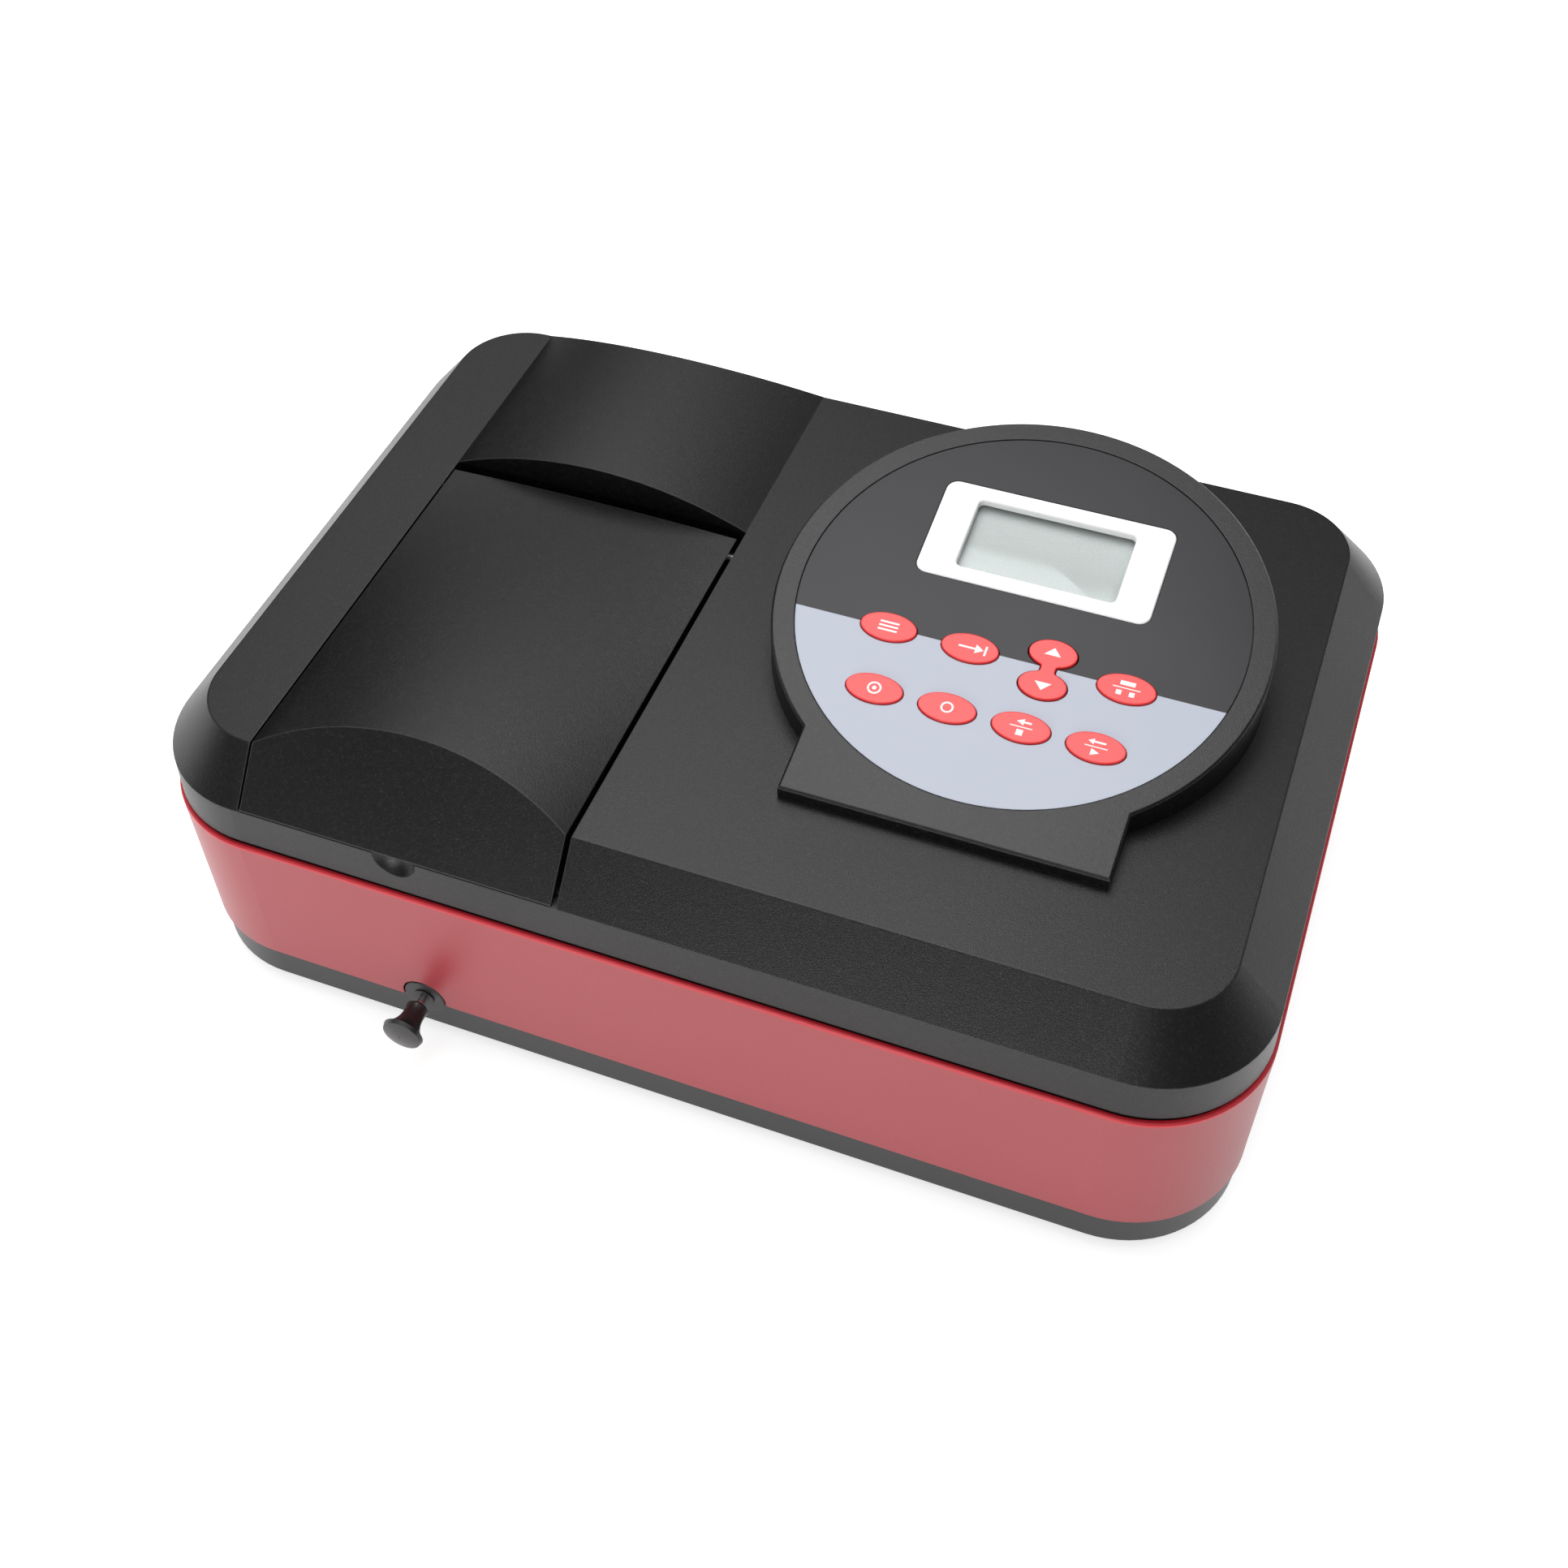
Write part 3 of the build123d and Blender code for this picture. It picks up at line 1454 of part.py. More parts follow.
with BuildPart() as data_port:
    with BuildSketch(upright(panel_face)):
        with Locations((port_x, panel_mid)):
            RectangleRounded(port_flange_width, port_flange_height, port_round)
    extrude(amount=-port_flange)
    with BuildSketch(upright(panel_face)):
        with Locations((port_x, panel_mid)):
            Rectangle(port_body_width, port_body_height)
    extrude(amount=port_body_depth)
    with BuildSketch(upright(port_face)) as port_shell:
        with Locations((port_x, panel_mid)):
            Trapezoid(port_shell_width, port_shell_height, 90 - port_shell_slant)
        fillet(port_shell.vertices(), port_round)
    extrude(amount=-port_shell_reach)
    with BuildSketch(upright(port_face)):
        with Locations((port_x - port_nut_spread / 2, panel_mid), (port_x + port_nut_spread / 2, panel_mid)):
            RegularPolygon(port_nut_radius, 6)
    extrude(amount=-port_nut_height)
    with BuildSketch(upright(port_face + port_shell_reach)):
        with Locations((port_x, panel_mid - port_socket_row / 2)):
            with GridLocations(port_socket_pitch, 0, port_low_sockets, 1):
                Circle(port_socket_radius)
        with Locations((port_x, panel_mid + port_socket_row / 2)):
            with GridLocations(port_socket_pitch, 0, port_high_sockets, 1):
                Circle(port_socket_radius)
    extrude(amount=port_socket_depth, mode=Mode.SUBTRACT)
save(data_port, "data_port")


# Cooling fan: square frame with a spider, and the rotor on its pin
fan_front = panel_inner - fan_depth
spider_face = fan_front + fan_spider_thickness
hub_low = spider_face + fan_hub_gap

with BuildPart() as fan_frame:
    with BuildSketch(upright(panel_inner)):
        with Locations((fan_x, panel_mid)):
            RectangleRounded(fan_size, fan_size, fan_corner)
            Circle(fan_bore, mode=Mode.SUBTRACT)
        with Locations(*fan_screw_spots):
            Circle(panel_screw_radius + press, mode=Mode.SUBTRACT)
    extrude(amount=fan_depth)
    with BuildSketch(upright(spider_face)):
        with Locations((fan_x, panel_mid)):
            Circle(fan_hub_radius)
            for angle in (45, -45):
                Rectangle(2 * fan_bore + fan_spider_width, fan_spider_width, rotation=angle)
    extrude(amount=fan_spider_thickness)
    with BuildSketch(upright(spider_face)):
        with Locations((fan_x, panel_mid)):
            Circle(fan_pin_radius)
    extrude(amount=-fan_hub_gap - fan_pin_grip)
save(fan_frame, "fan_frame")

with BuildPart() as fan_rotor:
    with BuildSketch(upright(hub_low)):
        with Locations((fan_x, panel_mid)):
            Circle(fan_hub_radius)
    extrude(amount=-fan_hub_depth)
    with Locations(upright(hub_low + fan_hub_depth / 2, fan_x, panel_mid)):
        with PolarLocations((fan_hub_radius + fan_blade_reach) / 2, fan_blades):
            Box(
                fan_blade_reach - fan_hub_radius + 2 * edge_break, fan_blade_width, fan_blade_thickness,
                rotation=(fan_blade_angle, 0, 0),
            )
    with BuildSketch(upright(hub_low)):
        with Locations((fan_x, panel_mid)):
            Circle(fan_pin_radius + running)
    extrude(amount=-fan_pin_grip - edge_break, mode=Mode.SUBTRACT)
save(fan_rotor, "fan_rotor")


# Optical bench: a thick L-shaped plate on the tray posts, with the pivot of the source mirror
wheel_x = slit_x + wheel_offset
lamp_y = (lamp_front + lamp_back) / 2
lamp_west = slit_x - lamp_house_left
lamp_east = slit_x + lamp_house_right
source_seat = bench_top + source_boss_height

with BuildPart() as optical_base:
    with BuildSketch(level(bench_top - bench_thickness)):
        rect_between(bench_west, bench_east, bench_step_y, bench_north)
        rect_between(bench_step_x, bench_east, bench_south, bench_step_y)
    extrude(amount=bench_thickness)
    fillet(optical_base.edges().filter_by(Axis.Z), bench_corner)
    with BuildSketch(level(bench_top, slit_x, lamp_y)):
        Circle(source_boss_radius)
    extrude(amount=source_boss_height)
    with BuildSketch(level(source_seat, slit_x, lamp_y)):
        Circle(source_post_radius)
    extrude(amount=source_hub_height - edge_break)
save(optical_base, "optical_base")


# Monochromator box: cast tub with mirror pads, pivot of the grating table and screw bearing
box_floor = bench_top + box_wall
box_top = bench_top + box_height
box_mid = (box_left + box_length / 2, box_low + box_depth / 2)
grating_x = box_left + grating_inset
collimator_y = box_high - mirror_setback
grating_y = (beam_y + collimator_y) / 2
mirror_seat = box_right - box_wall - mirror_mount_thickness
drive_height = box_floor + motor_size / 2
table_base = drive_height - nut_height / 2 + nut_finger_height + seam
table_top = table_base + table_thickness
drive_y = box_low + drive_setback
tip_y = drive_y + drive_offset
arm_length = grating_y - tip_y
bearing_x = box_left + box_wall + bearing_inset
drive_start = bearing_x + bearing_thickness
motor_x = drive_start + box_length * drive_share
fold_plane = Plane((slit_x, centre_y + collimator_y, beam_height), x_dir=(-1, 1, 0), z_dir=(1, 1, 0))

with BuildPart() as monochromator_box:
    with BuildSketch(level(bench_top, *box_mid)):
        RectangleRounded(box_length, box_depth, 2 * box_wall)
    extrude(amount=box_height)
    with BuildSketch(level(box_floor, *box_mid)):
        RectangleRounded(box_length - 2 * box_wall, box_depth - 2 * box_wall, box_wall)
    extrude(amount=box_height, mode=Mode.SUBTRACT)
    with BuildSketch(sideways(box_right - box_wall)):
        with Locations((collimator_y, beam_height), (beam_y, beam_height)):
            Rectangle(mirror_mount_width, mirror_mount_width)
    extrude(amount=-mirror_mount_thickness)
    with BuildSketch(fold_plane.offset(-fold_thickness)):
        rect_between(-fold_size / 2, fold_size / 2, box_floor - beam_height, fold_size / 2)
    extrude(amount=-fold_block)
    with BuildSketch(level(box_floor, grating_x, grating_y)):
        Circle(table_boss_radius)
    extrude(amount=table_base - seam - box_floor)
    with BuildSketch(level(box_floor, grating_x, grating_y)):
        Circle(table_pin_radius)
    extrude(amount=table_top - edge_break - box_floor)
    with BuildSketch(level(box_floor)):
        rect_between(bearing_x, drive_start, drive_y - bearing_width / 2, drive_y + bearing_width / 2)
    extrude(amount=motor_size / 2 + bearing_width / 2)
    with BuildSketch(sideways(bearing_x)):
        with Locations((drive_y, drive_height)):
            Circle(drive_radius + running)
    extrude(amount=bearing_thickness, mode=Mode.SUBTRACT)
    with BuildSketch(sideways(box_left)):
        with Locations((beam_y, beam_height)):
            Circle(slit_bore)
    extrude(amount=box_wall, mode=Mode.SUBTRACT)
    with BuildSketch(upright(box_high)):
        with Locations((slit_x, beam_height)):
            Circle(slit_bore)
    extrude(amount=box_wall, mode=Mode.SUBTRACT)
save(monochromator_box, "monochromator_box")


# Lid of the monochromator, with a lip inside the tub and standoffs for the main board
lid_surface = box_top + box_lid
board_width = box_length * board_width_share
board_depth = box_depth * board_depth_share
board_low = lid_surface + board_standoff
board_spots = [
    (side * (board_width / 2 - board_post_inset), end * (board_depth / 2 - board_post_inset))
    for side in (-1, 1) for end in (-1, 1)
]

with BuildPart() as monochromator_lid:
    with BuildSketch(level(box_top, *box_mid)):
        RectangleRounded(box_length, box_depth, 2 * box_wall)
    extrude(amount=box_lid)
    with BuildSketch(level(box_top, *box_mid)):
        RectangleRounded(
            box_length - 2 * box_wall - 2 * seam, box_depth - 2 * box_wall - 2 * seam, box_wall
        )
    extrude(amount=-box_lid_lip)
    with BuildSketch(level(lid_surface, *box_mid)):
        with Locations(*board_spots):
            Circle(board_standoff_radius)
    extrude(amount=board_standoff)
    with BuildSketch(level(board_low, *box_mid)):
        with Locations(*board_spots):
            Circle(board_peg_radius)
    extrude(amount=board_thickness + board_peg_proud)
save(monochromator_lid, "monochromator_lid")


# Entrance and exit slits: thin plates over the holes of the box
with BuildPart() as slit_plates:
    with BuildSketch(sideways(box_left)):
        with Locations((beam_y, beam_height)):
            Rectangle(slit_plate_width, slit_plate_width)
            Rectangle(slit_width, slit_height, mode=Mode.SUBTRACT)
    extrude(amount=-slit_plate_thickness)
    with BuildSketch(upright(box_high)):
        with Locations((slit_x, beam_height)):
            Rectangle(slit_plate_width, slit_plate_width)
            Rectangle(slit_width, slit_height, mode=Mode.SUBTRACT)
    extrude(amount=-slit_plate_thickness)
save(slit_plates, "slit_plates")


# Mirrors: two hollow-ground discs on the pads and a flat one that turns the light in
mirror_sphere = (mirror_radius ** 2 + mirror_hollow ** 2) / (2 * mirror_hollow)
mirror_half_angle = math.asin(mirror_radius / mirror_sphere) / 2
mirror_dip = mirror_sphere * (1 - math.cos(mirror_half_angle))
mirror_face = mirror_seat - mirror_thickness

with BuildPart() as mirrors:
    for mirror_y in (collimator_y, beam_y):
        with BuildSketch(level(beam_height, mirror_face, mirror_y)):
            with BuildLine():
                ThreePointArc(
                    (mirror_hollow, 0),
                    (mirror_hollow - mirror_dip, mirror_sphere * math.sin(mirror_half_angle)),
                    (0, mirror_radius),
                )
                Polyline((0, mirror_radius), (mirror_thickness, mirror_radius), (mirror_thickness, 0))
                Line((mirror_thickness, 0), (mirror_hollow, 0))
            make_face()
        revolve(axis=Axis((mirror_face, centre_y + mirror_y, beam_height), (1, 0, 0)))
    with BuildSketch(fold_plane):
        Rectangle(fold_size, fold_size)
    extrude(amount=-fold_thickness)
save(mirrors, "mirrors")


# Grating on its turntable, with the long arm that the drive pushes
with BuildPart() as grating_table:
    with BuildSketch(level(table_base, grating_x, grating_y)):
        Circle(table_radius)
        rect_between(-arm_width / 2, arm_width / 2, -arm_length, 0)
        with Locations((0, -arm_length)):
            Circle(arm_width / 2)
    extrude(amount=table_thickness)
    with BuildSketch(level(table_base, grating_x, tip_y)):
        Circle(arm_tip_radius)
    extrude(amount=-nut_finger_height)
    with BuildSketch(level(table_top, grating_x, grating_y)):
        rect_between(
            -grating_thickness - grating_back, -grating_thickness, -grating_size / 2, grating_size / 2
        )
    extrude(amount=grating_size)
    with BuildSketch(level(table_base, grating_x, grating_y)):
        Circle(table_pin_radius + running)
    extrude(amount=table_thickness - edge_break / 2, mode=Mode.SUBTRACT)
save(grating_table, "grating_table")

with BuildPart() as grating:
    with BuildSketch(level(table_top, grating_x, grating_y)):
        rect_between(-grating_thickness, 0, -grating_size / 2, grating_size / 2)
    extrude(amount=grating_size)
save(grating, "grating")


# Grating drive: the lead screw and the nut whose finger pushes the arm
finger_face = grating_x - arm_tip_radius - nut_gap
nut_low = drive_height - nut_height / 2

with BuildPart() as drive_screw:
    with BuildSketch(sideways(bearing_x)):
        with Locations((drive_y, drive_height)):
            Circle(drive_radius)
    extrude(amount=motor_x + motor_shaft_seat - bearing_x)
save(drive_screw, "drive_screw")

with BuildPart() as drive_nut:
    with BuildSketch(level(nut_low)):
        rect_between(finger_face - nut_length, finger_face, drive_y - nut_width / 2, drive_y + nut_width / 2)
    extrude(amount=nut_height)
    with BuildSketch(level(nut_low)):
        rect_between(
            finger_face - nut_finger_thickness, finger_face,
            drive_y + nut_width / 2, drive_y + nut_width / 2 + nut_finger,
        )
    extrude(amount=nut_finger_height)
    with BuildSketch(sideways(finger_face)):
        with Locations((drive_y, drive_height)):
            Circle(drive_radius + running)
    extrude(amount=-nut_length, mode=Mode.SUBTRACT)
save(drive_nut, "drive_nut")


# Stepper motors: one turns the lead screw, the other the filter wheel
with BuildPart() as stepper_motors:
    with BuildSketch(sideways(motor_x)):
        with Locations((drive_y, drive_height)):
            RectangleRounded(motor_size, motor_size, motor_corner)
    extrude(amount=motor_length)
    with BuildSketch(sideways(motor_x)):
        with Locations((drive_y, drive_height)):
            Circle(motor_pilot_radius)
    extrude(amount=-motor_pilot)
    with BuildSketch(sideways(motor_x - motor_pilot)):
        with Locations((drive_y, drive_height)):
            Circle(drive_radius + running)
    extrude(amount=motor_pilot + motor_shaft_seat + edge_break, mode=Mode.SUBTRACT)
    with BuildSketch(upright(wheel_motor_face)):
        with Locations((wheel_x, beam_height)):
            RectangleRounded(motor_size, motor_size, motor_corner)
    extrude(amount=-motor_length)
    with BuildSketch(upright(wheel_motor_face)):
        with Locations((wheel_x, beam_height)):
            Circle(motor_pilot_radius)
    extrude(amount=motor_pilot)
    with BuildSketch(upright(wheel_motor_face - motor_pilot)):
        with Locations((wheel_x, beam_height)):
            Circle(wheel_shaft_radius + running)
    extrude(amount=-motor_pilot - motor_shaft_seat - edge_break, mode=Mode.SUBTRACT)
save(stepper_motors, "stepper_motors")


# Filter wheel in front of the entrance slit, on the shaft of its motor
with BuildPart() as filter_wheel:
    with BuildSketch(upright(wheel_front)):
        with Locations((wheel_x, beam_height)):
            Circle(wheel_radius)
            with PolarLocations(wheel_offset, wheel_holes):
                Circle(wheel_hole_radius, mode=Mode.SUBTRACT)
    extrude(amount=-wheel_thickness)
    with BuildSketch(upright(wheel_back)):
        with Locations((wheel_x, beam_height)):
            Circle(wheel_shaft_radius)
    extrude(amount=-wheel_shaft_gap - motor_shaft_seat)
save(filter_wheel, "filter_wheel")


# Lamp house: a hood on the bench, open below, with a light hole and air slots
with BuildPart() as lamp_house:
    with BuildSketch(level(bench_top)):
        rect_between(lamp_west, lamp_east, lamp_front, lamp_back)
    extrude(amount=lamp_house_height)
    with BuildSketch(level(bench_top)):
        rect_between(
            lamp_west + lamp_wall, lamp_east - lamp_wall, lamp_front + lamp_wall, lamp_back - lamp_wall
        )
    extrude(amount=lamp_house_height - lamp_wall, mode=Mode.SUBTRACT)
    with BuildSketch(upright(lamp_front)):
        with Locations((slit_x, beam_height)):
            Circle(slit_bore)
    extrude(amount=-lamp_wall, mode=Mode.SUBTRACT)
    with BuildSketch(upright(lamp_back)):
        with Locations((slit_x - lamp_vent_shift, panel_mid)):
            with GridLocations(lamp_vent_pitch, 0, lamp_vent_count, 1):
                Rectangle(lamp_vent, lamp_vent_length)
    extrude(amount=lamp_wall, mode=Mode.SUBTRACT)
    with BuildSketch(level(bench_top + lamp_house_height)):
        for lamp_x in (slit_x - lamp_spread, slit_x + lamp_spread):
            with Locations((lamp_x, lamp_y)):
                with GridLocations(lamp_vent_pitch, 0, lamp_vent_count, 1):
                    Rectangle(lamp_vent, lamp_vent_length)
    extrude(amount=-lamp_wall, mode=Mode.SUBTRACT)
save(lamp_house, "lamp_house")


# Source mirror: turns on its post to send either lamp's light to the slit
source_plane = Plane((slit_x, centre_y + lamp_y, beam_height), x_dir=(1, 1, 0), z_dir=(1, -1, 0))

with BuildPart() as source_mirror:
    with BuildSketch(level(source_seat + seam, slit_x, lamp_y)):
        Circle(source_boss_radius)
    extrude(amount=source_hub_height)
    with BuildSketch(source_plane):
        Rectangle(source_mirror_size, source_mirror_size)
    extrude(amount=-source_mirror_thickness)
    with BuildSketch(level(source_seat + seam, slit_x, lamp_y)):
        Circle(source_post_radius + running)
    extrude(amount=source_hub_height - edge_break, mode=Mode.SUBTRACT)
save(source_mirror, "source_mirror")


# Lamps in their sockets: a wide deuterium lamp and a small tungsten lamp
with BuildPart() as deuterium_lamp:
    with BuildSketch(level(bench_top, slit_x - lamp_spread, lamp_y)):
        Circle(socket_radius)
    extrude(amount=socket_height)
    with BuildSketch(level(bench_top + socket_height, slit_x - lamp_spread, lamp_y)):
        Circle(deuterium_radius)
    extrude(amount=deuterium_height)
    fillet(deuterium_lamp.edges().group_by(Axis.Z)[-1], lamp_round)
save(deuterium_lamp, "deuterium_lamp")

tungsten_low = beam_height - tungsten_height / 2

with BuildPart() as tungsten_lamp:
    with BuildSketch(level(bench_top, slit_x + lamp_spread, lamp_y)):
        Circle(socket_radius)
    extrude(amount=tungsten_low - bench_top)
    with BuildSketch(level(tungsten_low, slit_x + lamp_spread, lamp_y)):
        Circle(tungsten_radius)
    extrude(amount=tungsten_height)
    fillet(tungsten_lamp.edges().group_by(Axis.Z)[-1], lamp_round)
save(tungsten_lamp, "tungsten_lamp")


# Detector: a block on a foot beside the sample well, facing the beam
detector_face = well_west - well_wall - window_thickness - detector_gap
detector_back = detector_face - detector_depth
detector_low = beam_height - detector_height / 2
detector_mid = (detector_face + detector_back) / 2

with BuildPart() as detector:
    with BuildSketch(level(floor_top, detector_mid, beam_y)):
        Rectangle(detector_depth, detector_width)
    extrude(amount=detector_foot)
    with BuildSketch(level(floor_top, detector_mid, beam_y)):
        Rectangle(detector_neck, detector_neck)
    extrude(amount=detector_low - floor_top)
    with BuildSketch(level(detector_low, detector_mid, beam_y)):
        Rectangle(detector_depth, detector_width)
    extrude(amount=detector_height)
    with BuildSketch(sideways(detector_face)):
        with Locations((beam_y, beam_height)):
            Circle(detector_bore)
    extrude(amount=-detector_bore_depth, mode=Mode.SUBTRACT)
save(detector, "detector")


# Main board with its chips, on pegs over the monochromator
with BuildPart() as main_board:
    with BuildSketch(level(board_low, *box_mid)):
        RectangleRounded(board_width, board_depth, board_corner)
        with Locations(*board_spots):
            Circle(board_peg_radius + press, mode=Mode.SUBTRACT)
    extrude(amount=board_thickness)
    with BuildSketch(level(board_low + board_thickness, *box_mid)):
        with GridLocations(
            board_width * chip_column_share, board_depth * chip_row_share, chip_columns, chip_rows
        ):
            Rectangle(board_width * chip_width_share, board_depth * chip_depth_share)
    extrude(amount=chip_height)
save(main_board, "main_board")


# Power supply on four tray posts, with air slots in its top
supply_top = floor_top + supply_standoff + supply_height

with BuildPart() as power_supply:
    with BuildSketch(level(floor_top + supply_standoff, supply_x, supply_y)):
        Rectangle(supply_width, supply_depth)
    extrude(amount=supply_height)
    with BuildSketch(level(supply_top, supply_x, supply_y)):
        with GridLocations(0, supply_slot_pitch, 1, supply_slot_count):
            Rectangle(supply_width - 2 * supply_slot_inset, supply_slot)
    extrude(amount=-supply_slot_depth, mode=Mode.SUBTRACT)
save(power_supply, "power_supply")
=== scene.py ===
import math

import bmesh
import bpy
from mathutils import Matrix, Vector


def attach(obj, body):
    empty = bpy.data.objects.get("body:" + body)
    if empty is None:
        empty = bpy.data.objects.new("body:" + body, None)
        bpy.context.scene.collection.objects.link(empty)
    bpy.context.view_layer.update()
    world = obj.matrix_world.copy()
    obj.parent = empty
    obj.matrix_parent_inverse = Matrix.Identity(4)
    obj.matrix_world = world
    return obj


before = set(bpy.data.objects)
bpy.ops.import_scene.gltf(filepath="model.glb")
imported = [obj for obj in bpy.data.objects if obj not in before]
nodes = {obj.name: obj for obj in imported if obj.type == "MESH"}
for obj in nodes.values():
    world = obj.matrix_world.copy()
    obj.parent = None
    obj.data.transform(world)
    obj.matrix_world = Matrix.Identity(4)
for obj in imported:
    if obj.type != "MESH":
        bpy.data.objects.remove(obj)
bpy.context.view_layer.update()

# Studio: a plain painted floor in a dim room that is bright overhead, and a camera at the photo's
# angle. Soft lights: one above, one low in front, a weak one at the left and one high behind.
# Places are in metres. The focal length and the lens centre are in pixels of the photo.
camera_bearing = math.radians(22.11)
camera_rise = math.radians(48.09)
camera_roll = math.radians(-1.48)
camera_target = Vector((-0.01183, -0.00011, 0.068))
camera_distance = 0.86849
photo_width = 1932
focal_length = 2405.15
lens_centre_across, lens_centre_down = 940.44, 910.19
sensor_width = 36

link_object = bpy.context.scene.collection.objects.link
camera = bpy.data.objects.new("camera", bpy.data.cameras.new("camera"))
link_object(camera)
camera_back = Vector((
    math.sin(camera_bearing) * math.cos(camera_rise),
    -math.cos(camera_bearing) * math.cos(camera_rise),
    math.sin(camera_rise),
))
camera_turn = (-camera_back).to_track_quat("-Z", "Y").to_matrix().to_4x4()
camera.matrix_world = (
    Matrix.Translation(camera_target + camera_back * camera_distance)
    @ camera_turn @ Matrix.Rotation(camera_roll, 4, "Z")
)
camera.data.sensor_width = sensor_width
camera.data.lens = focal_length / photo_width * sensor_width
camera.data.shift_x = (photo_width / 2 - lens_centre_across) / photo_width
camera.data.shift_y = (lens_centre_down - photo_width / 2) / photo_width
camera.data.clip_start = 0.01
bpy.context.scene.camera = camera


def new_finish(name):
    """A new material, with its node tree and its surface shader."""
    finish = bpy.data.materials.new(name)
    finish.use_nodes = True
    return finish, finish.node_tree, finish.node_tree.nodes["Principled BSDF"]


def add_node(tree, kind, inputs=None, **settings):
    """Add a node. An input that is given as a socket is linked, and any other value is set."""
    node = tree.nodes.new(kind)
    for setting, value in settings.items():
        setattr(node, setting, value)
    for socket, value in (inputs or {}).items():
        if isinstance(value, bpy.types.NodeSocket):
            tree.links.new(value, node.inputs[socket])
        else:
            node.inputs[socket].default_value = value
    return node


def calculate(tree, operation, *values):
    """One operation on numbers and sockets."""
    return add_node(tree, "ShaderNodeMath", dict(enumerate(values)), operation=operation).outputs[0]


def remap(tree, value, start, end, low=0.0, high=1.0):
    """Stretch a value from between start and end to between low and high."""
    return add_node(tree, "ShaderNodeMapRange", {
        "Value": value, "From Min": start, "From Max": end, "To Min": low, "To Max": high,
    }).outputs[0]


floor_half = 4.0
floor_seen_glow = 0.62
floor_mirrored_glow = 0.6

floor_mesh = bpy.data.meshes.new("floor")
floor_mesh.from_pydata(
    [(-floor_half, -floor_half, 0), (floor_half, -floor_half, 0),
     (floor_half, floor_half, 0), (-floor_half, floor_half, 0)], [], [(0, 1, 2, 3)])
floor = bpy.data.objects.new("floor", floor_mesh)
link_object(floor)
floor_paint, tree, surface = new_finish("floor_paint")
surface.inputs["Base Color"].default_value = (0.86, 0.86, 0.86, 1)
surface.inputs["Roughness"].default_value = 0.9
surface.inputs["Specular IOR Level"].default_value = 0.0
surface.inputs["Emission Color"].default_value = (1, 1, 1, 1)
light_path = add_node(tree, "ShaderNodeLightPath").outputs
mirrored_glow = calculate(tree, "MULTIPLY", light_path["Is Glossy Ray"], floor_mirrored_glow)
floor_glow = calculate(
    tree, "MULTIPLY_ADD", light_path["Is Camera Ray"], floor_seen_glow, mirrored_glow)
tree.links.new(floor_glow, surface.inputs["Emission Strength"])
floor_mesh.materials.append(floor_paint)

room_dim, room_bright = 0.03, 0.95
room_dim_height, room_bright_height = 0.4, 0.85

world = bpy.data.worlds.new("studio")
bpy.context.scene.world = world
world.use_nodes = True
tree = world.node_tree
room = tree.nodes["Background"]
room.inputs["Color"].default_value = (1, 1, 1, 1)
room_direction = add_node(tree, "ShaderNodeTexCoord").outputs["Generated"]
room_height = add_node(tree, "ShaderNodeSeparateXYZ", {0: room_direction}).outputs["Z"]
room_light = remap(
    tree, room_height, room_dim_height, room_bright_height, room_dim, room_bright)
room_seen = add_node(tree, "ShaderNodeLightPath").outputs["Is Camera Ray"]
room_strength = add_node(
    tree, "ShaderNodeMix", {"Factor": room_seen, "A": room_light, "B": 1.0}, data_type="FLOAT")
tree.links.new(room_strength.outputs[0], room.inputs["Strength"])

light_target = Vector((0, 0, 0.08))
for light_name, light_place, light_size, light_power in (
    ("light_over", (-0.18, 0.28, 1.5), 0.9, 13.0),
    ("light_front", (-0.1, -1.7, 0.2), 0.7, 13.5),
    ("light_left", (-1.6, -0.2, 0.3), 0.7, 2.5),
    ("light_back", (-0.85, 1.3, 1.55), 0.9, 3.6),
):
    light = bpy.data.lights.new(light_name, "AREA")
    light.size = light_size
    light.energy = light_power
    light_object = bpy.data.objects.new(light_name, light)
    light_object.location = light_place
    aim = light_target - Vector(light_place)
    light_object.rotation_euler = aim.to_track_quat("-Z", "Y").to_euler()
    link_object(light_object)
bpy.context.scene.view_settings.view_transform = "Standard"


# Base tray: injection-moulded floor and low wall of the case, in dark grey plastic with a fine
# spark-eroded grain. The other mouldings have that grain too, at their own sizes and tones.
def blend(tree, share, first, second):
    """Mix two colours. A Mix node counts its colours as inputs 6 and 7 and as output 2."""
    node = add_node(tree, "ShaderNodeMix", {0: share, 6: first, 7: second}, data_type="RGBA")
    return node.outputs[2]


def distance_along(tree, place, direction):
    """How far a vector reaches along a direction."""
    node = add_node(
        tree, "ShaderNodeVectorMath", {0: place, 1: direction}, operation="DOT_PRODUCT")
    return node.outputs["Value"]


def new_group(name, inputs):
    """A node group with these inputs, which puts out a colour, a roughness and a normal."""
    group = bpy.data.node_groups.new(name, "ShaderNodeTree")
    for label, kind, value in inputs:
        socket = group.interface.new_socket(label, in_out="INPUT", socket_type=kind)
        socket.default_value = value
    for label, kind in (
        ("Colour", "NodeSocketColor"), ("Roughness", "NodeSocketFloat"),
        ("Normal", "NodeSocketVector"),
    ):
        group.interface.new_socket(label, in_out="OUTPUT", socket_type=kind)
    return group, group.nodes.new("NodeGroupInput").outputs


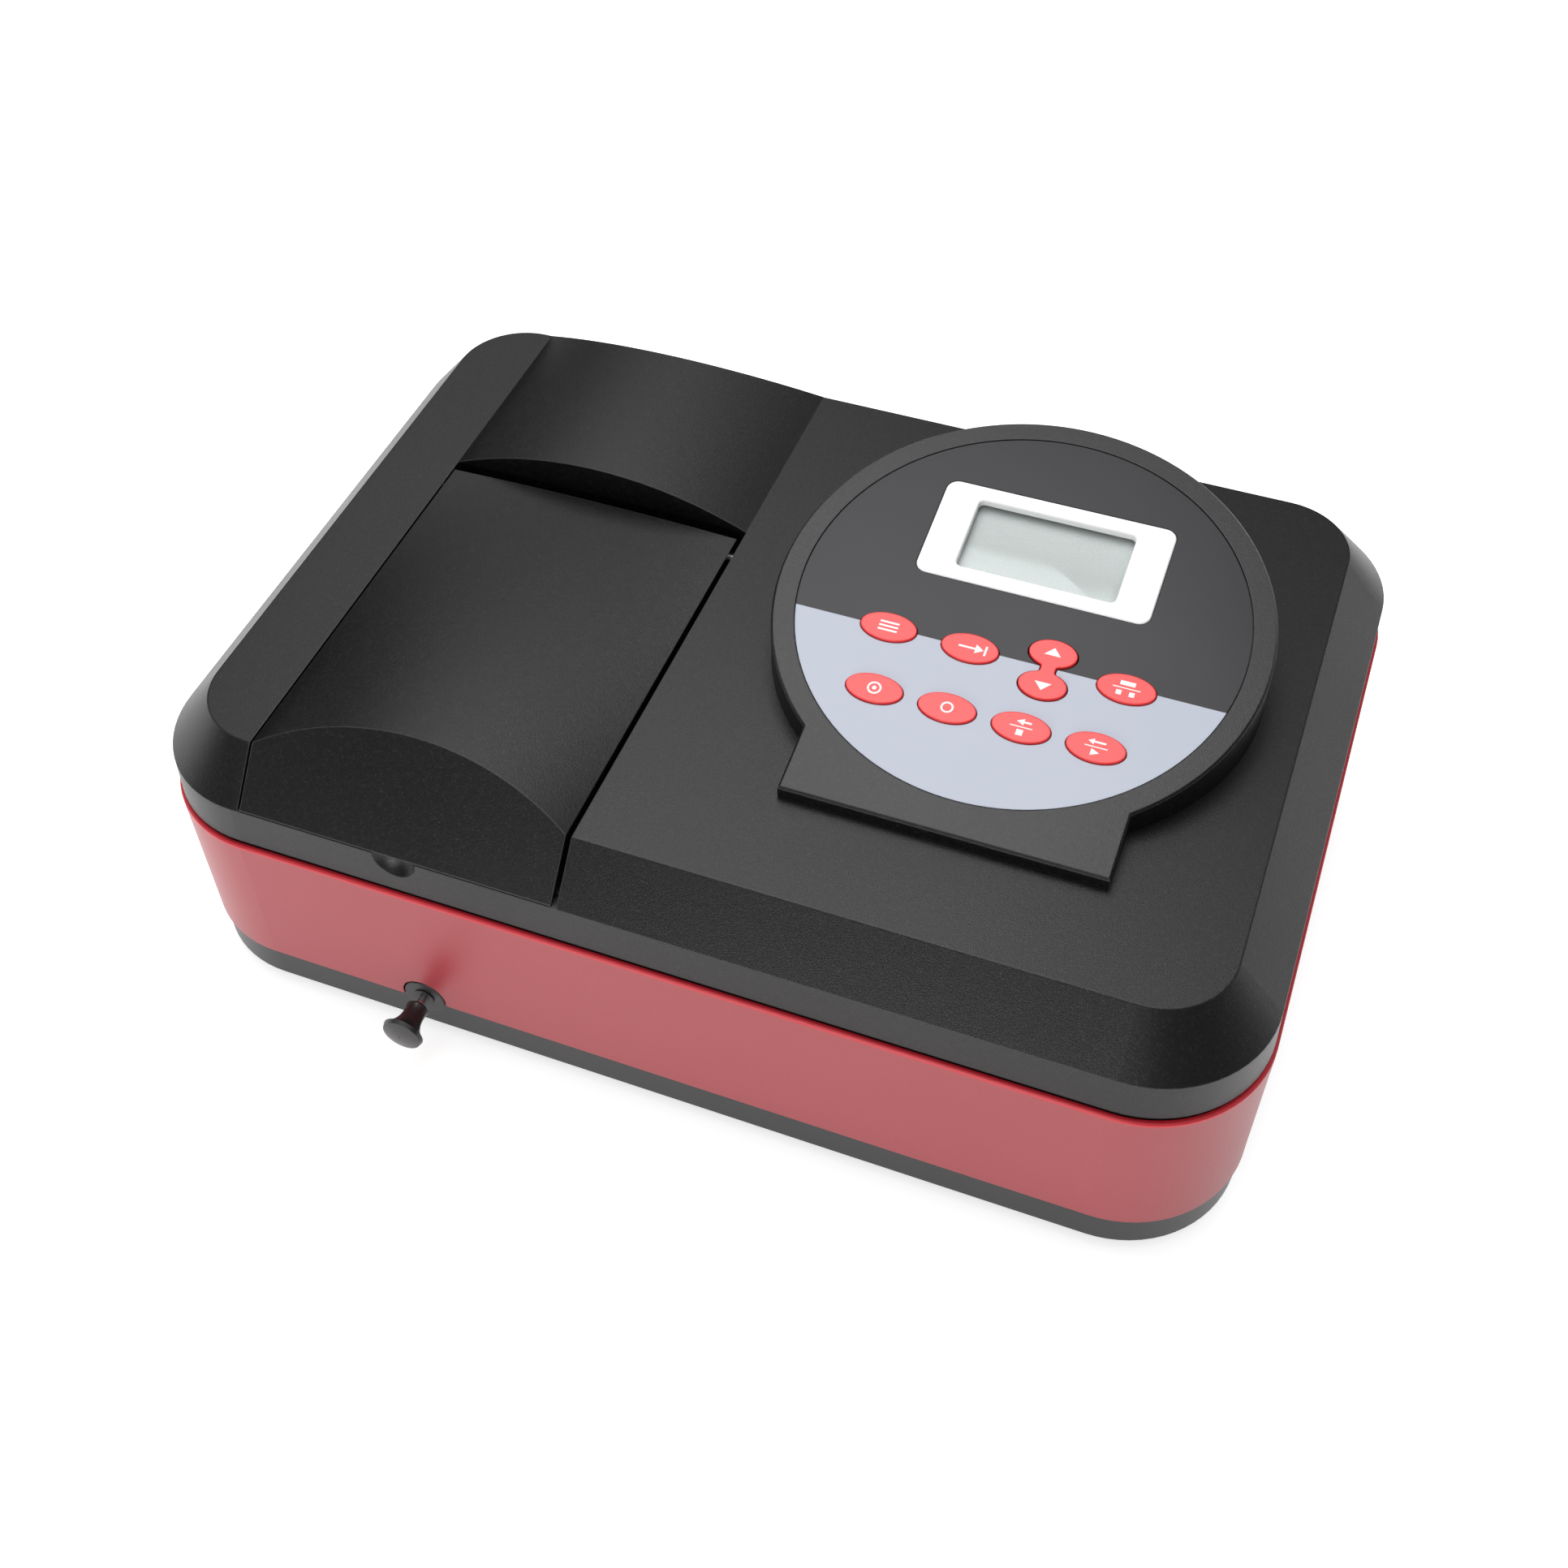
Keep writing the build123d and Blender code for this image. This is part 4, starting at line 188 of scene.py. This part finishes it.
def make_moulded_grain():
    """Fine pebbled skin of moulded plastic: flecked, unevenly shiny, with soft edges lightened by a
    painted highlight.
    """
    coarse_share = 0.3
    fleck_starts, fleck_full = 0.53, 0.66
    shine_spread = 0.06
    highlight_edge_starts, highlight_edge_full = 0.985, 0.90
    pebble_height = 0.00015
    group, given = new_group("moulded_grain", (
        ("Tone", "NodeSocketColor", (0.1, 0.1, 0.1, 1)),
        ("Light Tone", "NodeSocketColor", (0.2, 0.2, 0.2, 1)),
        ("Grain Scale", "NodeSocketFloat", 1500.0),
        ("Grain Depth", "NodeSocketFloat", 0.3),
        ("Roughness", "NodeSocketFloat", 0.45),
        ("Edge Round", "NodeSocketFloat", 0.0004),
        ("Edge Highlight Tone", "NodeSocketColor", (0.1, 0.1, 0.1, 1)),
        ("Edge Highlight Share", "NodeSocketFloat", 0.0),
    ))
    place = add_node(group, "ShaderNodeTexCoord").outputs["Object"]
    grain = add_node(group, "ShaderNodeTexNoise", {
        "Vector": place, "Scale": given["Grain Scale"], "Detail": 3.0, "Roughness": 0.6,
    }).outputs["Fac"]
    coarse = add_node(group, "ShaderNodeTexNoise", {
        "Vector": place, "Detail": 5.0, "Roughness": 0.75,
        "Scale": calculate(group, "MULTIPLY", given["Grain Scale"], coarse_share),
    }).outputs["Fac"]
    cloud = add_node(group, "ShaderNodeTexNoise", {
        "Vector": place, "Scale": 9.0, "Detail": 2.0,
    }).outputs["Fac"]

    half_coarse = calculate(group, "MULTIPLY", coarse, 0.5)
    fleck = remap(
        group, calculate(group, "MULTIPLY_ADD", grain, 0.5, half_coarse),
        fleck_starts, fleck_full)
    flecked = blend(group, fleck, given["Tone"], given["Light Tone"])
    uneven = remap(group, cloud, 0.0, 1.0, -shine_spread, shine_spread)
    soft_edge = add_node(
        group, "ShaderNodeBevel", {"Radius": given["Edge Round"]}, samples=4).outputs[0]
    face = add_node(group, "ShaderNodeNewGeometry").outputs["Normal"]
    # Painted highlight: the rounded edges, found where the bevelled normal turns away from the
    # face, are lightened towards the edge highlight tone.
    edge = remap(group, distance_along(group, soft_edge, face), highlight_edge_starts, highlight_edge_full)
    painted_edge_highlight = calculate(group, "MULTIPLY", edge, given["Edge Highlight Share"])
    pebbles = add_node(group, "ShaderNodeBump", {
        "Strength": given["Grain Depth"], "Distance": pebble_height,
        "Height": grain, "Normal": soft_edge,
    })
    add_node(group, "NodeGroupOutput", {
        "Colour": blend(group, painted_edge_highlight, flecked, given["Edge Highlight Tone"]),
        "Roughness": calculate(group, "ADD", given["Roughness"], uneven),
        "Normal": pebbles.outputs[0],
    })
    return group


def grouped_finish(name, group, values):
    """A material that takes its colour, roughness and normal from a node group."""
    finish, tree, surface = new_finish(name)
    effect = add_node(tree, "ShaderNodeGroup", values, node_tree=group)
    tree.links.new(effect.outputs["Colour"], surface.inputs["Base Color"])
    tree.links.new(effect.outputs["Roughness"], surface.inputs["Roughness"])
    tree.links.new(effect.outputs["Normal"], surface.inputs["Normal"])
    return finish, tree, surface


moulded_grain = make_moulded_grain()


def grained_plastic(
    name, tone, light_tone, scale, depth, roughness,
    edge=0.0004, level=0.5, edge_highlight_share=0.0, painted_edge_highlight=None,
):
    """A moulded plastic in its own tone, grain, shine and painted edge highlight."""
    finish, tree, surface = grouped_finish(name, moulded_grain, {
        "Tone": (*tone, 1), "Light Tone": (*light_tone, 1),
        "Grain Scale": scale, "Grain Depth": depth, "Roughness": roughness,
        # The edge highlight share and tone set how strongly, and in what colour, the edges get a
        # painted highlight.
        "Edge Round": edge, "Edge Highlight Share": edge_highlight_share, "Edge Highlight Tone": (*(painted_edge_highlight or light_tone), 1),
    })
    surface.inputs["Specular IOR Level"].default_value = level
    return finish


def dress(finish, *names):
    """Give CAD pieces their finish."""
    for name in names:
        for slot in nodes[name].material_slots:
            slot.material = finish


tray_plastic = grained_plastic(
    "tray_plastic", (0.005, 0.005, 0.006), (0.012, 0.012, 0.014), 2600, 0.25, 0.38)
dress(tray_plastic, "base_tray")


# Feet: four soft black rubber buttons with a dusty, slightly rough skin.
# Their stems are pushed into holes of the tray.
foot_rubber = grained_plastic(
    "foot_rubber", (0.012, 0.012, 0.012), (0.045, 0.044, 0.042), 900, 0.5, 0.8)
dress(foot_rubber, "rubber_feet")


# Side band: a satin moulding of its own between tray and cover, in deep red with a smooth,
# slightly waxy skin. Its rounded top edge has a painted highlight in a purer red, and its edges a
# painted highlight in light red.
# Heights where the painted highlight of the top bead begins and where it is full.
painted_bead_starts, painted_bead_full = 0.0955, 0.0966
band_plastic = grained_plastic(
    "band_plastic", (0.38, 0.046, 0.056), (0.42, 0.066, 0.076), 3200, 0.10, 0.38, 0.0006,
    edge_highlight_share=0.6, painted_edge_highlight=(0.72, 0.03, 0.05))
tree = band_plastic.node_tree
place = add_node(tree, "ShaderNodeTexCoord").outputs["Object"]
height = add_node(tree, "ShaderNodeSeparateXYZ", {0: place}).outputs["Z"]
# Painted highlight: the top millimetre of the band, its rounded bead, is coloured a brighter, purer
# red.
band_colour_with_painted_bead = blend(
    tree, remap(tree, height, painted_bead_starts, painted_bead_full),
    tree.nodes["Group"].outputs["Colour"], (0.62, 0.02, 0.035, 1))
tree.links.new(band_colour_with_painted_bead, tree.nodes["Principled BSDF"].inputs["Base Color"])
dress(band_plastic, "side_band")


# Top cover, sample lid and display pod: mouldings of one charcoal plastic with a leather-fine
# grain, a little lighter where the grain catches the light, and with a painted highlight along the
# edges.
cover_plastic = grained_plastic(
    "cover_plastic", (0.0026, 0.0026, 0.0028), (0.022, 0.022, 0.0225), 1900, 0.7, 0.37, 0.0007,
    # The light grey edge tone is a painted highlight along the edges.
    level=0.36, edge_highlight_share=0.55, painted_edge_highlight=(0.10, 0.10, 0.10))
dress(cover_plastic, "top_cover", "sample_lid", "display_housing")


# Light seal and hinge pin of the lid: a frame of black foam glued to the shelf round the well,
# and a ground steel pin held at both ends in the cover.
def make_drawn_metal():
    """Fine lines along one direction, as drawing, brushing or turning leaves them."""
    darkest, lightest = 0.72, 1.1
    shine_spread = 0.2
    line_height = 0.00003
    group, given = new_group("drawn_metal", (
        ("Tone", "NodeSocketColor", (0.6, 0.6, 0.6, 1)),
        ("Stretch", "NodeSocketVector", (1.0, 1.0, 1.0)),
        ("Line Scale", "NodeSocketFloat", 2000.0),
        ("Roughness", "NodeSocketFloat", 0.3),
    ))
    place = add_node(group, "ShaderNodeTexCoord").outputs["Object"]
    stretched = add_node(
        group, "ShaderNodeVectorMath", {0: place, 1: given["Stretch"]}, operation="MULTIPLY")
    lines = add_node(group, "ShaderNodeTexNoise", {
        "Vector": stretched.outputs[0], "Scale": given["Line Scale"], "Detail": 4.0,
    }).outputs["Fac"]
    shade = remap(group, lines, 0.0, 1.0, darkest, lightest)
    shaded = add_node(
        group, "ShaderNodeMix", {0: 1.0, 6: given["Tone"], 7: shade},
        data_type="RGBA", blend_type="MULTIPLY")
    grooves = add_node(group, "ShaderNodeBump", {
        "Strength": 0.4, "Distance": line_height, "Height": lines,
    })
    add_node(group, "NodeGroupOutput", {
        "Colour": shaded.outputs[2],
        "Roughness": calculate(group, "MULTIPLY_ADD", lines, shine_spread, given["Roughness"]),
        "Normal": grooves.outputs[0],
    })
    return group


drawn_metal = make_drawn_metal()


def lined_metal(name, tone, stretch, scale, roughness):
    """A metal with lines squeezed across one axis and stretched along another."""
    finish, tree, surface = grouped_finish(name, drawn_metal, {
        "Tone": (*tone, 1), "Stretch": stretch, "Line Scale": scale, "Roughness": roughness,
    })
    surface.inputs["Metallic"].default_value = 1.0
    return finish


seal_foam = grained_plastic(
    "seal_foam", (0.006, 0.006, 0.006), (0.03, 0.03, 0.03), 1400, 0.9, 0.95)
dress(seal_foam, "light_seal")
ground_steel = lined_metal("ground_steel", (0.62, 0.62, 0.61), (0.1, 1.0, 1.0), 2500, 0.12)
dress(ground_steel, "hinge_pin")


# Panel overlay: a polyester sheet glued into the pod's face and printed on its back, dark slate
# above a straight line and pale blue-grey below. The line is 22 mm below the middle of the disc.
pod_centre = Vector((0.0937, 0.0174795, 0.1651179))
pod_tilt = math.radians(10.2)
pod_right = Vector((1, 0, 0))
pod_up = Vector((0, math.cos(pod_tilt), math.sin(pod_tilt)))
pod_out = Vector((0, -math.sin(pod_tilt), math.cos(pod_tilt)))
print_line = -0.0220

overlay_sheet, tree, surface = grouped_finish("overlay_sheet", moulded_grain, {
    "Grain Scale": 4200, "Grain Depth": 0.06, "Roughness": 0.33,
})
surface.inputs["Specular IOR Level"].default_value = 0.26
place = add_node(tree, "ShaderNodeTexCoord").outputs["Object"]
above_line = calculate(
    tree, "GREATER_THAN", distance_along(tree, place, pod_up),
    pod_centre.dot(pod_up) + print_line)
sheet_colour = blend(tree, above_line, (0.41, 0.44, 0.515, 1), (0.008, 0.0075, 0.011, 1))
tree.links.new(sheet_colour, surface.inputs["Base Color"])
dress(overlay_sheet, "panel_overlay")


# Display: a white moulded surround let into the pod, and behind it a clear acrylic window and the
# liquid-crystal cell, grey-green and reflective, on its green circuit board.
def clear_glass(name, tone, alpha, haze_scale=150.0, smoothest=0.02, roughest=0.08, level=0.5):
    """Clear glass or acrylic with a faint haze that changes over its surface."""
    finish, tree, surface = new_finish(name)
    surface.inputs["Base Color"].default_value = (*tone, 1)
    surface.inputs["Alpha"].default_value = alpha
    surface.inputs["Specular IOR Level"].default_value = level
    haze = add_node(tree, "ShaderNodeTexNoise", {"Scale": haze_scale}).outputs["Fac"]
    tree.links.new(remap(tree, haze, 0.0, 1.0, smoothest, roughest), surface.inputs["Roughness"])
    return finish


bezel_white = grained_plastic(
    "bezel_white", (0.90, 0.90, 0.90), (0.93, 0.93, 0.93), 3000, 0.05, 0.35)
dress(bezel_white, "display_bezel")
window_acrylic = clear_glass(
    "window_acrylic", (0.85, 0.9, 0.88), 0.08, 60.0, 0.03, 0.09, level=0.2)
dress(window_acrylic, "display_glass")

board_depth = 0.0092
cell_and_board, tree, surface = new_finish("cell_and_board")
surface.inputs["Roughness"].default_value = 0.4
place = add_node(tree, "ShaderNodeTexCoord").outputs["Object"]
is_cell = calculate(
    tree, "GREATER_THAN", distance_along(tree, place, pod_out),
    pod_centre.dot(pod_out) - board_depth)
speckle = add_node(tree, "ShaderNodeTexNoise", {"Vector": place, "Scale": 2600.0})
cell_film = blend(
    tree, speckle.outputs["Fac"], (0.49, 0.545, 0.54, 1), (0.58, 0.635, 0.625, 1))
tree.links.new(
    blend(tree, is_cell, (0.02, 0.11, 0.04, 1), cell_film), surface.inputs["Base Color"])
dress(cell_and_board, "display_module")


# Keys: soft coral-red caps with a silky skin, each with a white mark printed on it. The marks are
# thin raised ink and move with their key. Their places and sizes are in millimetres.
key_silicone = grained_plastic(
    "key_silicone", (0.80, 0.035, 0.036), (0.84, 0.048, 0.05), 2600, 0.05, 0.38, 0.0005)
key_places = {
    "key_upper_1": (-48.3, -22.2), "key_upper_2": (-14.3, -22.5), "key_upper_3": (49.1, -23.0),
    "key_lower_1": (-44.3, -51.9), "key_lower_2": (-14.4, -52.1),
    "key_lower_3": (15.4, -52.2), "key_lower_4": (45.0, -52.4),
}
arrow_place = (17.7, -23.2)
dress(key_silicone, "arrow_rocker", *key_places)
mark_ink = grained_plastic("mark_ink", (0.86, 0.86, 0.86), (0.9, 0.9, 0.9), 5000, 0.03, 0.5)
key_top = 0.8
ink_thickness = 0.03


def on_face(u, v, rise):
    """Point of the tilted face, from millimetres right, up and out of its middle."""
    return pod_centre + (pod_right * u + pod_up * v + pod_out * rise) / 1000


def bar(width, height, right=0.0, up=0.0):
    """Corners of an upright rectangle of ink."""
    w, h = width / 2, height / 2
    return [(right - w, up - h), (right + w, up - h), (right + w, up + h), (right - w, up + h)]


def circle(radius, right=0.0, up=0.0, sides=28):
    """Corners of a round dot of ink."""
    turn = 2 * math.pi / sides
    return [
        (right + radius * math.cos(i * turn), up + radius * math.sin(i * turn))
        for i in range(sides)
    ]


def ring(outer, inner):
    """A ring of ink round the middle of a key, as short pieces laid end to end."""
    outside, inside = circle(outer), circle(inner)
    around = zip(outside, outside[1:] + outside[:1], inside[1:] + inside[:1], inside)
    return [list(corners) for corners in around]


def add_piece(name, shape, finish):
    """Put a finished shape into the scene as a piece of its own."""
    mesh = bpy.data.meshes.new(name)
    shape.to_mesh(mesh)
    shape.free()
    mesh.materials.append(finish)
    piece = bpy.data.objects.new(name, mesh)
    link_object(piece)
    return piece


def print_mark(name, body, place, shapes):
    """Lay thin shapes of ink on a key, each a closed run of corners, and let them ride with it."""
    ink = bmesh.new()
    for corners in shapes:
        low, high = (
            [ink.verts.new(on_face(place[0] + u, place[1] + v, rise)) for u, v in corners]
            for rise in (key_top, key_top + ink_thickness)
        )
        ink.faces.new(high)
        ink.faces.new(low[::-1])
        for i in range(len(corners)):
            j = (i + 1) % len(corners)
            ink.faces.new((low[i], low[j], high[j], high[i]))
    mark = add_piece(name, ink, mark_ink)
    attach(mark, body)


key_marks = {
    "key_upper_1": [bar(8.0, 0.9, 0, 1.9), bar(8.0, 0.9), bar(8.0, 0.9, 0, -1.9)],
    "key_upper_2": [bar(7.0, 0.9, -1.2), [(2.2, -2.2), (5.6, 0), (2.2, 2.2)], bar(0.9, 4.6, 6.4)],
    "key_upper_3": [
        bar(6.0, 2.0, 0, 2.3), bar(11.0, 0.5), bar(2.2, 2.2, -2.6, -2.4), bar(2.2, 2.2, 2.6, -2.4),
    ],
    "key_lower_1": [circle(0.9), *ring(2.9, 2.1)],
    "key_lower_2": ring(2.6, 1.8),
    "key_lower_3": [
        [(-2.4, 2.4), (0.6, 0.9), (0.6, 3.9)], bar(3.0, 0.9, 2.1, 2.4),
        bar(9.0, 0.5), bar(2.7, 2.7, 0, -2.6),
    ],
    "key_lower_4": [
        [(-3.6, 2.3), (-1.2, 0.9), (-1.2, 3.7)], bar(4.6, 0.9, 1.1, 2.3),
        bar(9.0, 0.5), [(-1.5, -4.1), (1.9, -2.5), (-1.5, -0.9)],
    ],
}
for key_name, shapes in key_marks.items():
    print_mark(f"{key_name}_mark", f"{key_name}_body", key_places[key_name], shapes)
print_mark("arrow_marks", "arrow_key", arrow_place, [
    [(-3.4, 6.6), (3.4, 6.6), (0, 10.4)], [(-3.4, -6.6), (0, -10.4), (3.4, -6.6)],
])


# Keypad board on pegs of the pod, and its push switches: a green glass-fibre board with black
# moulded switch bodies soldered to it, one under every key.
board_green = grained_plastic(
    "board_green", (0.012, 0.085, 0.03), (0.02, 0.13, 0.05), 700, 0.15, 0.4)
dress(board_green, "key_board")
switch_black = grained_plastic(
    "switch_black", (0.012, 0.012, 0.012), (0.02, 0.02, 0.02), 2500, 0.1, 0.45)
dress(switch_black, "key_switches")


# Cell changer's pull: a drawn steel rod that slides in a turned black plastic bush, with a
# bell-shaped knob in dark gloss plastic on its end. The guide rods are of the same steel.
drawn_rod = lined_metal("drawn_rod", (0.70, 0.70, 0.69), (1.0, 0.08, 1.0), 2600, 0.14)
dress(drawn_rod, "pull_rod", "guide_rods")
knob_plastic = grained_plastic(
    "knob_plastic", (0.016, 0.016, 0.017), (0.022, 0.022, 0.023), 3000, 0.08, 0.3, 0.0003)
dress(knob_plastic, "rod_knob")
dress(switch_black, "rod_bush")


# Sample well, cell rack and sliding block: milled aluminium, bead-blasted and anodised black
# against stray light, like the slits and the filter wheel. The optics boxes are painted matt black.
anodised_black = grained_plastic(
    "anodised_black", (0.010, 0.010, 0.011), (0.022, 0.022, 0.024), 3600, 0.3, 0.5)
dress(
    anodised_black, "sample_well", "carriage_block", "cell_rack", "slit_plates", "filter_wheel")
optical_paint = grained_plastic(
    "optical_paint", (0.008, 0.008, 0.008), (0.016, 0.016, 0.016), 1500, 0.6, 0.75)
dress(optical_paint, "monochromator_box", "monochromator_lid", "lamp_house", "detector")


# Quartz windows let into the walls of the well, and the two glass lamps in the lamp house.
# Both are clear, with the faint haze of handling.
dress(clear_glass("quartz", (0.9, 0.95, 0.97), 0.2), "beam_windows")
dress(clear_glass("lamp_glass", (0.9, 0.9, 0.92), 0.4), "deuterium_lamp", "tungsten_lamp")


# Optics inside: a cast bench and turntable, front-coated mirrors and grating, and the drive that
# turns the grating, with a steel screw, a brass nut and a stepper motor.
cast_alloy = lined_metal("cast_alloy", (0.50, 0.50, 0.51), (1.0, 1.0, 1.0), 900, 0.42)
dress(cast_alloy, "optical_base", "grating_table")
mirror_coat = lined_metal("mirror_coat", (0.93, 0.93, 0.94), (1.0, 1.0, 1.0), 120, 0.0)
dress(mirror_coat, "mirrors", "source_mirror")
grating_coat = lined_metal("grating_coat", (0.80, 0.82, 0.88), (1.0, 1.0, 0.02), 6000, 0.05)
dress(grating_coat, "grating")
dress(ground_steel, "drive_screw")
turned_brass = lined_metal("turned_brass", (0.72, 0.53, 0.22), (1.0, 0.2, 0.2), 2200, 0.2)
dress(turned_brass, "drive_nut")
motor_steel = lined_metal("motor_steel", (0.42, 0.42, 0.43), (1.0, 1.0, 0.2), 1200, 0.3)
dress(motor_steel, "stepper_motors")


# Electronics: the green main board on pegs over the monochromator, and beside it the power supply
# in a cage of folded and brushed sheet steel, on posts of the tray.
dress(board_green, "main_board")
cage_steel = lined_metal("cage_steel", (0.60, 0.61, 0.60), (0.15, 1.0, 1.0), 900, 0.3)
dress(cage_steel, "power_supply")


# Back: a steel plate in fine dark powder coat, screwed to the case. It holds the black mains
# inlet with plated pins, the mains switch, a plated data socket and a black fan.
powder_coat = grained_plastic(
    "powder_coat", (0.020, 0.020, 0.021), (0.05, 0.05, 0.052), 1300, 0.7, 0.55)
dress(powder_coat, "rear_panel")
inlet_black = grained_plastic(
    "inlet_black", (0.010, 0.010, 0.010), (0.016, 0.016, 0.016), 2600, 0.15, 0.35)
dress(inlet_black, "power_inlet", "switch_frame", "switch_rocker", "fan_frame", "fan_rotor")
plated_pins = lined_metal("plated_pins", (0.75, 0.74, 0.70), (1.0, 0.1, 1.0), 2400, 0.18)
dress(plated_pins, "inlet_pins")
plated_shell = lined_metal("plated_shell", (0.62, 0.60, 0.55), (0.3, 1.0, 1.0), 1500, 0.25)
dress(plated_shell, "data_port")
zinc_screw = lined_metal("zinc_screw", (0.36, 0.36, 0.36), (1.0, 1.0, 0.3), 2600, 0.28)
dress(zinc_screw, "panel_screws", "case_screws", "pod_screws")


# Cross recesses of the ten screws on the back: two crossed slots on each domed head, drawn as thin
# dark slabs whose colour is painted shade of the recess. Four screws hold the plate at its corners,
# four the fan and two the mains inlet.
# Painted shade: the dark colour of the slots stands in for the shade inside the recesses.
painted_recess_shade = lined_metal("painted_recess_shade", (0.05, 0.05, 0.05), (1.0, 1.0, 0.3), 2600, 0.5)
slot_long, slot_thin, slot_deep = 0.0032, 0.0006, 0.00005
case_middle_y = 0.00885
panel_height = 0.059
corner_crown, fan_crown, inlet_crown = 0.16400, 0.16120, 0.16350
corner_across, corner_heights = (-0.127, 0.177), (0.040, 0.078)
fan_across, fan_spacing = -0.020, (-0.0195, 0.0195)
inlet_across, inlet_spacing = 0.145, (-0.020, 0.020)
head_places = [
    *((x, corner_crown, z) for x in corner_across for z in corner_heights),
    *((fan_across + x, fan_crown, panel_height + z) for x in fan_spacing for z in fan_spacing),
    *((inlet_across + x, inlet_crown, panel_height) for x in inlet_spacing),
]
for number, (x, y, z) in enumerate(head_places, 1):
    cross = bmesh.new()
    for wide, high in ((slot_long, slot_thin), (slot_thin, slot_long)):
        made = bmesh.ops.create_cube(cross, size=1)["verts"]
        bmesh.ops.scale(cross, vec=(wide, slot_deep, high), verts=made)
        bmesh.ops.translate(cross, vec=(x, y + case_middle_y, z), verts=made)
    recess = add_piece(f"painted_screw_recess_shade_{number}", cross, painted_recess_shade)
    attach(recess, "housing")
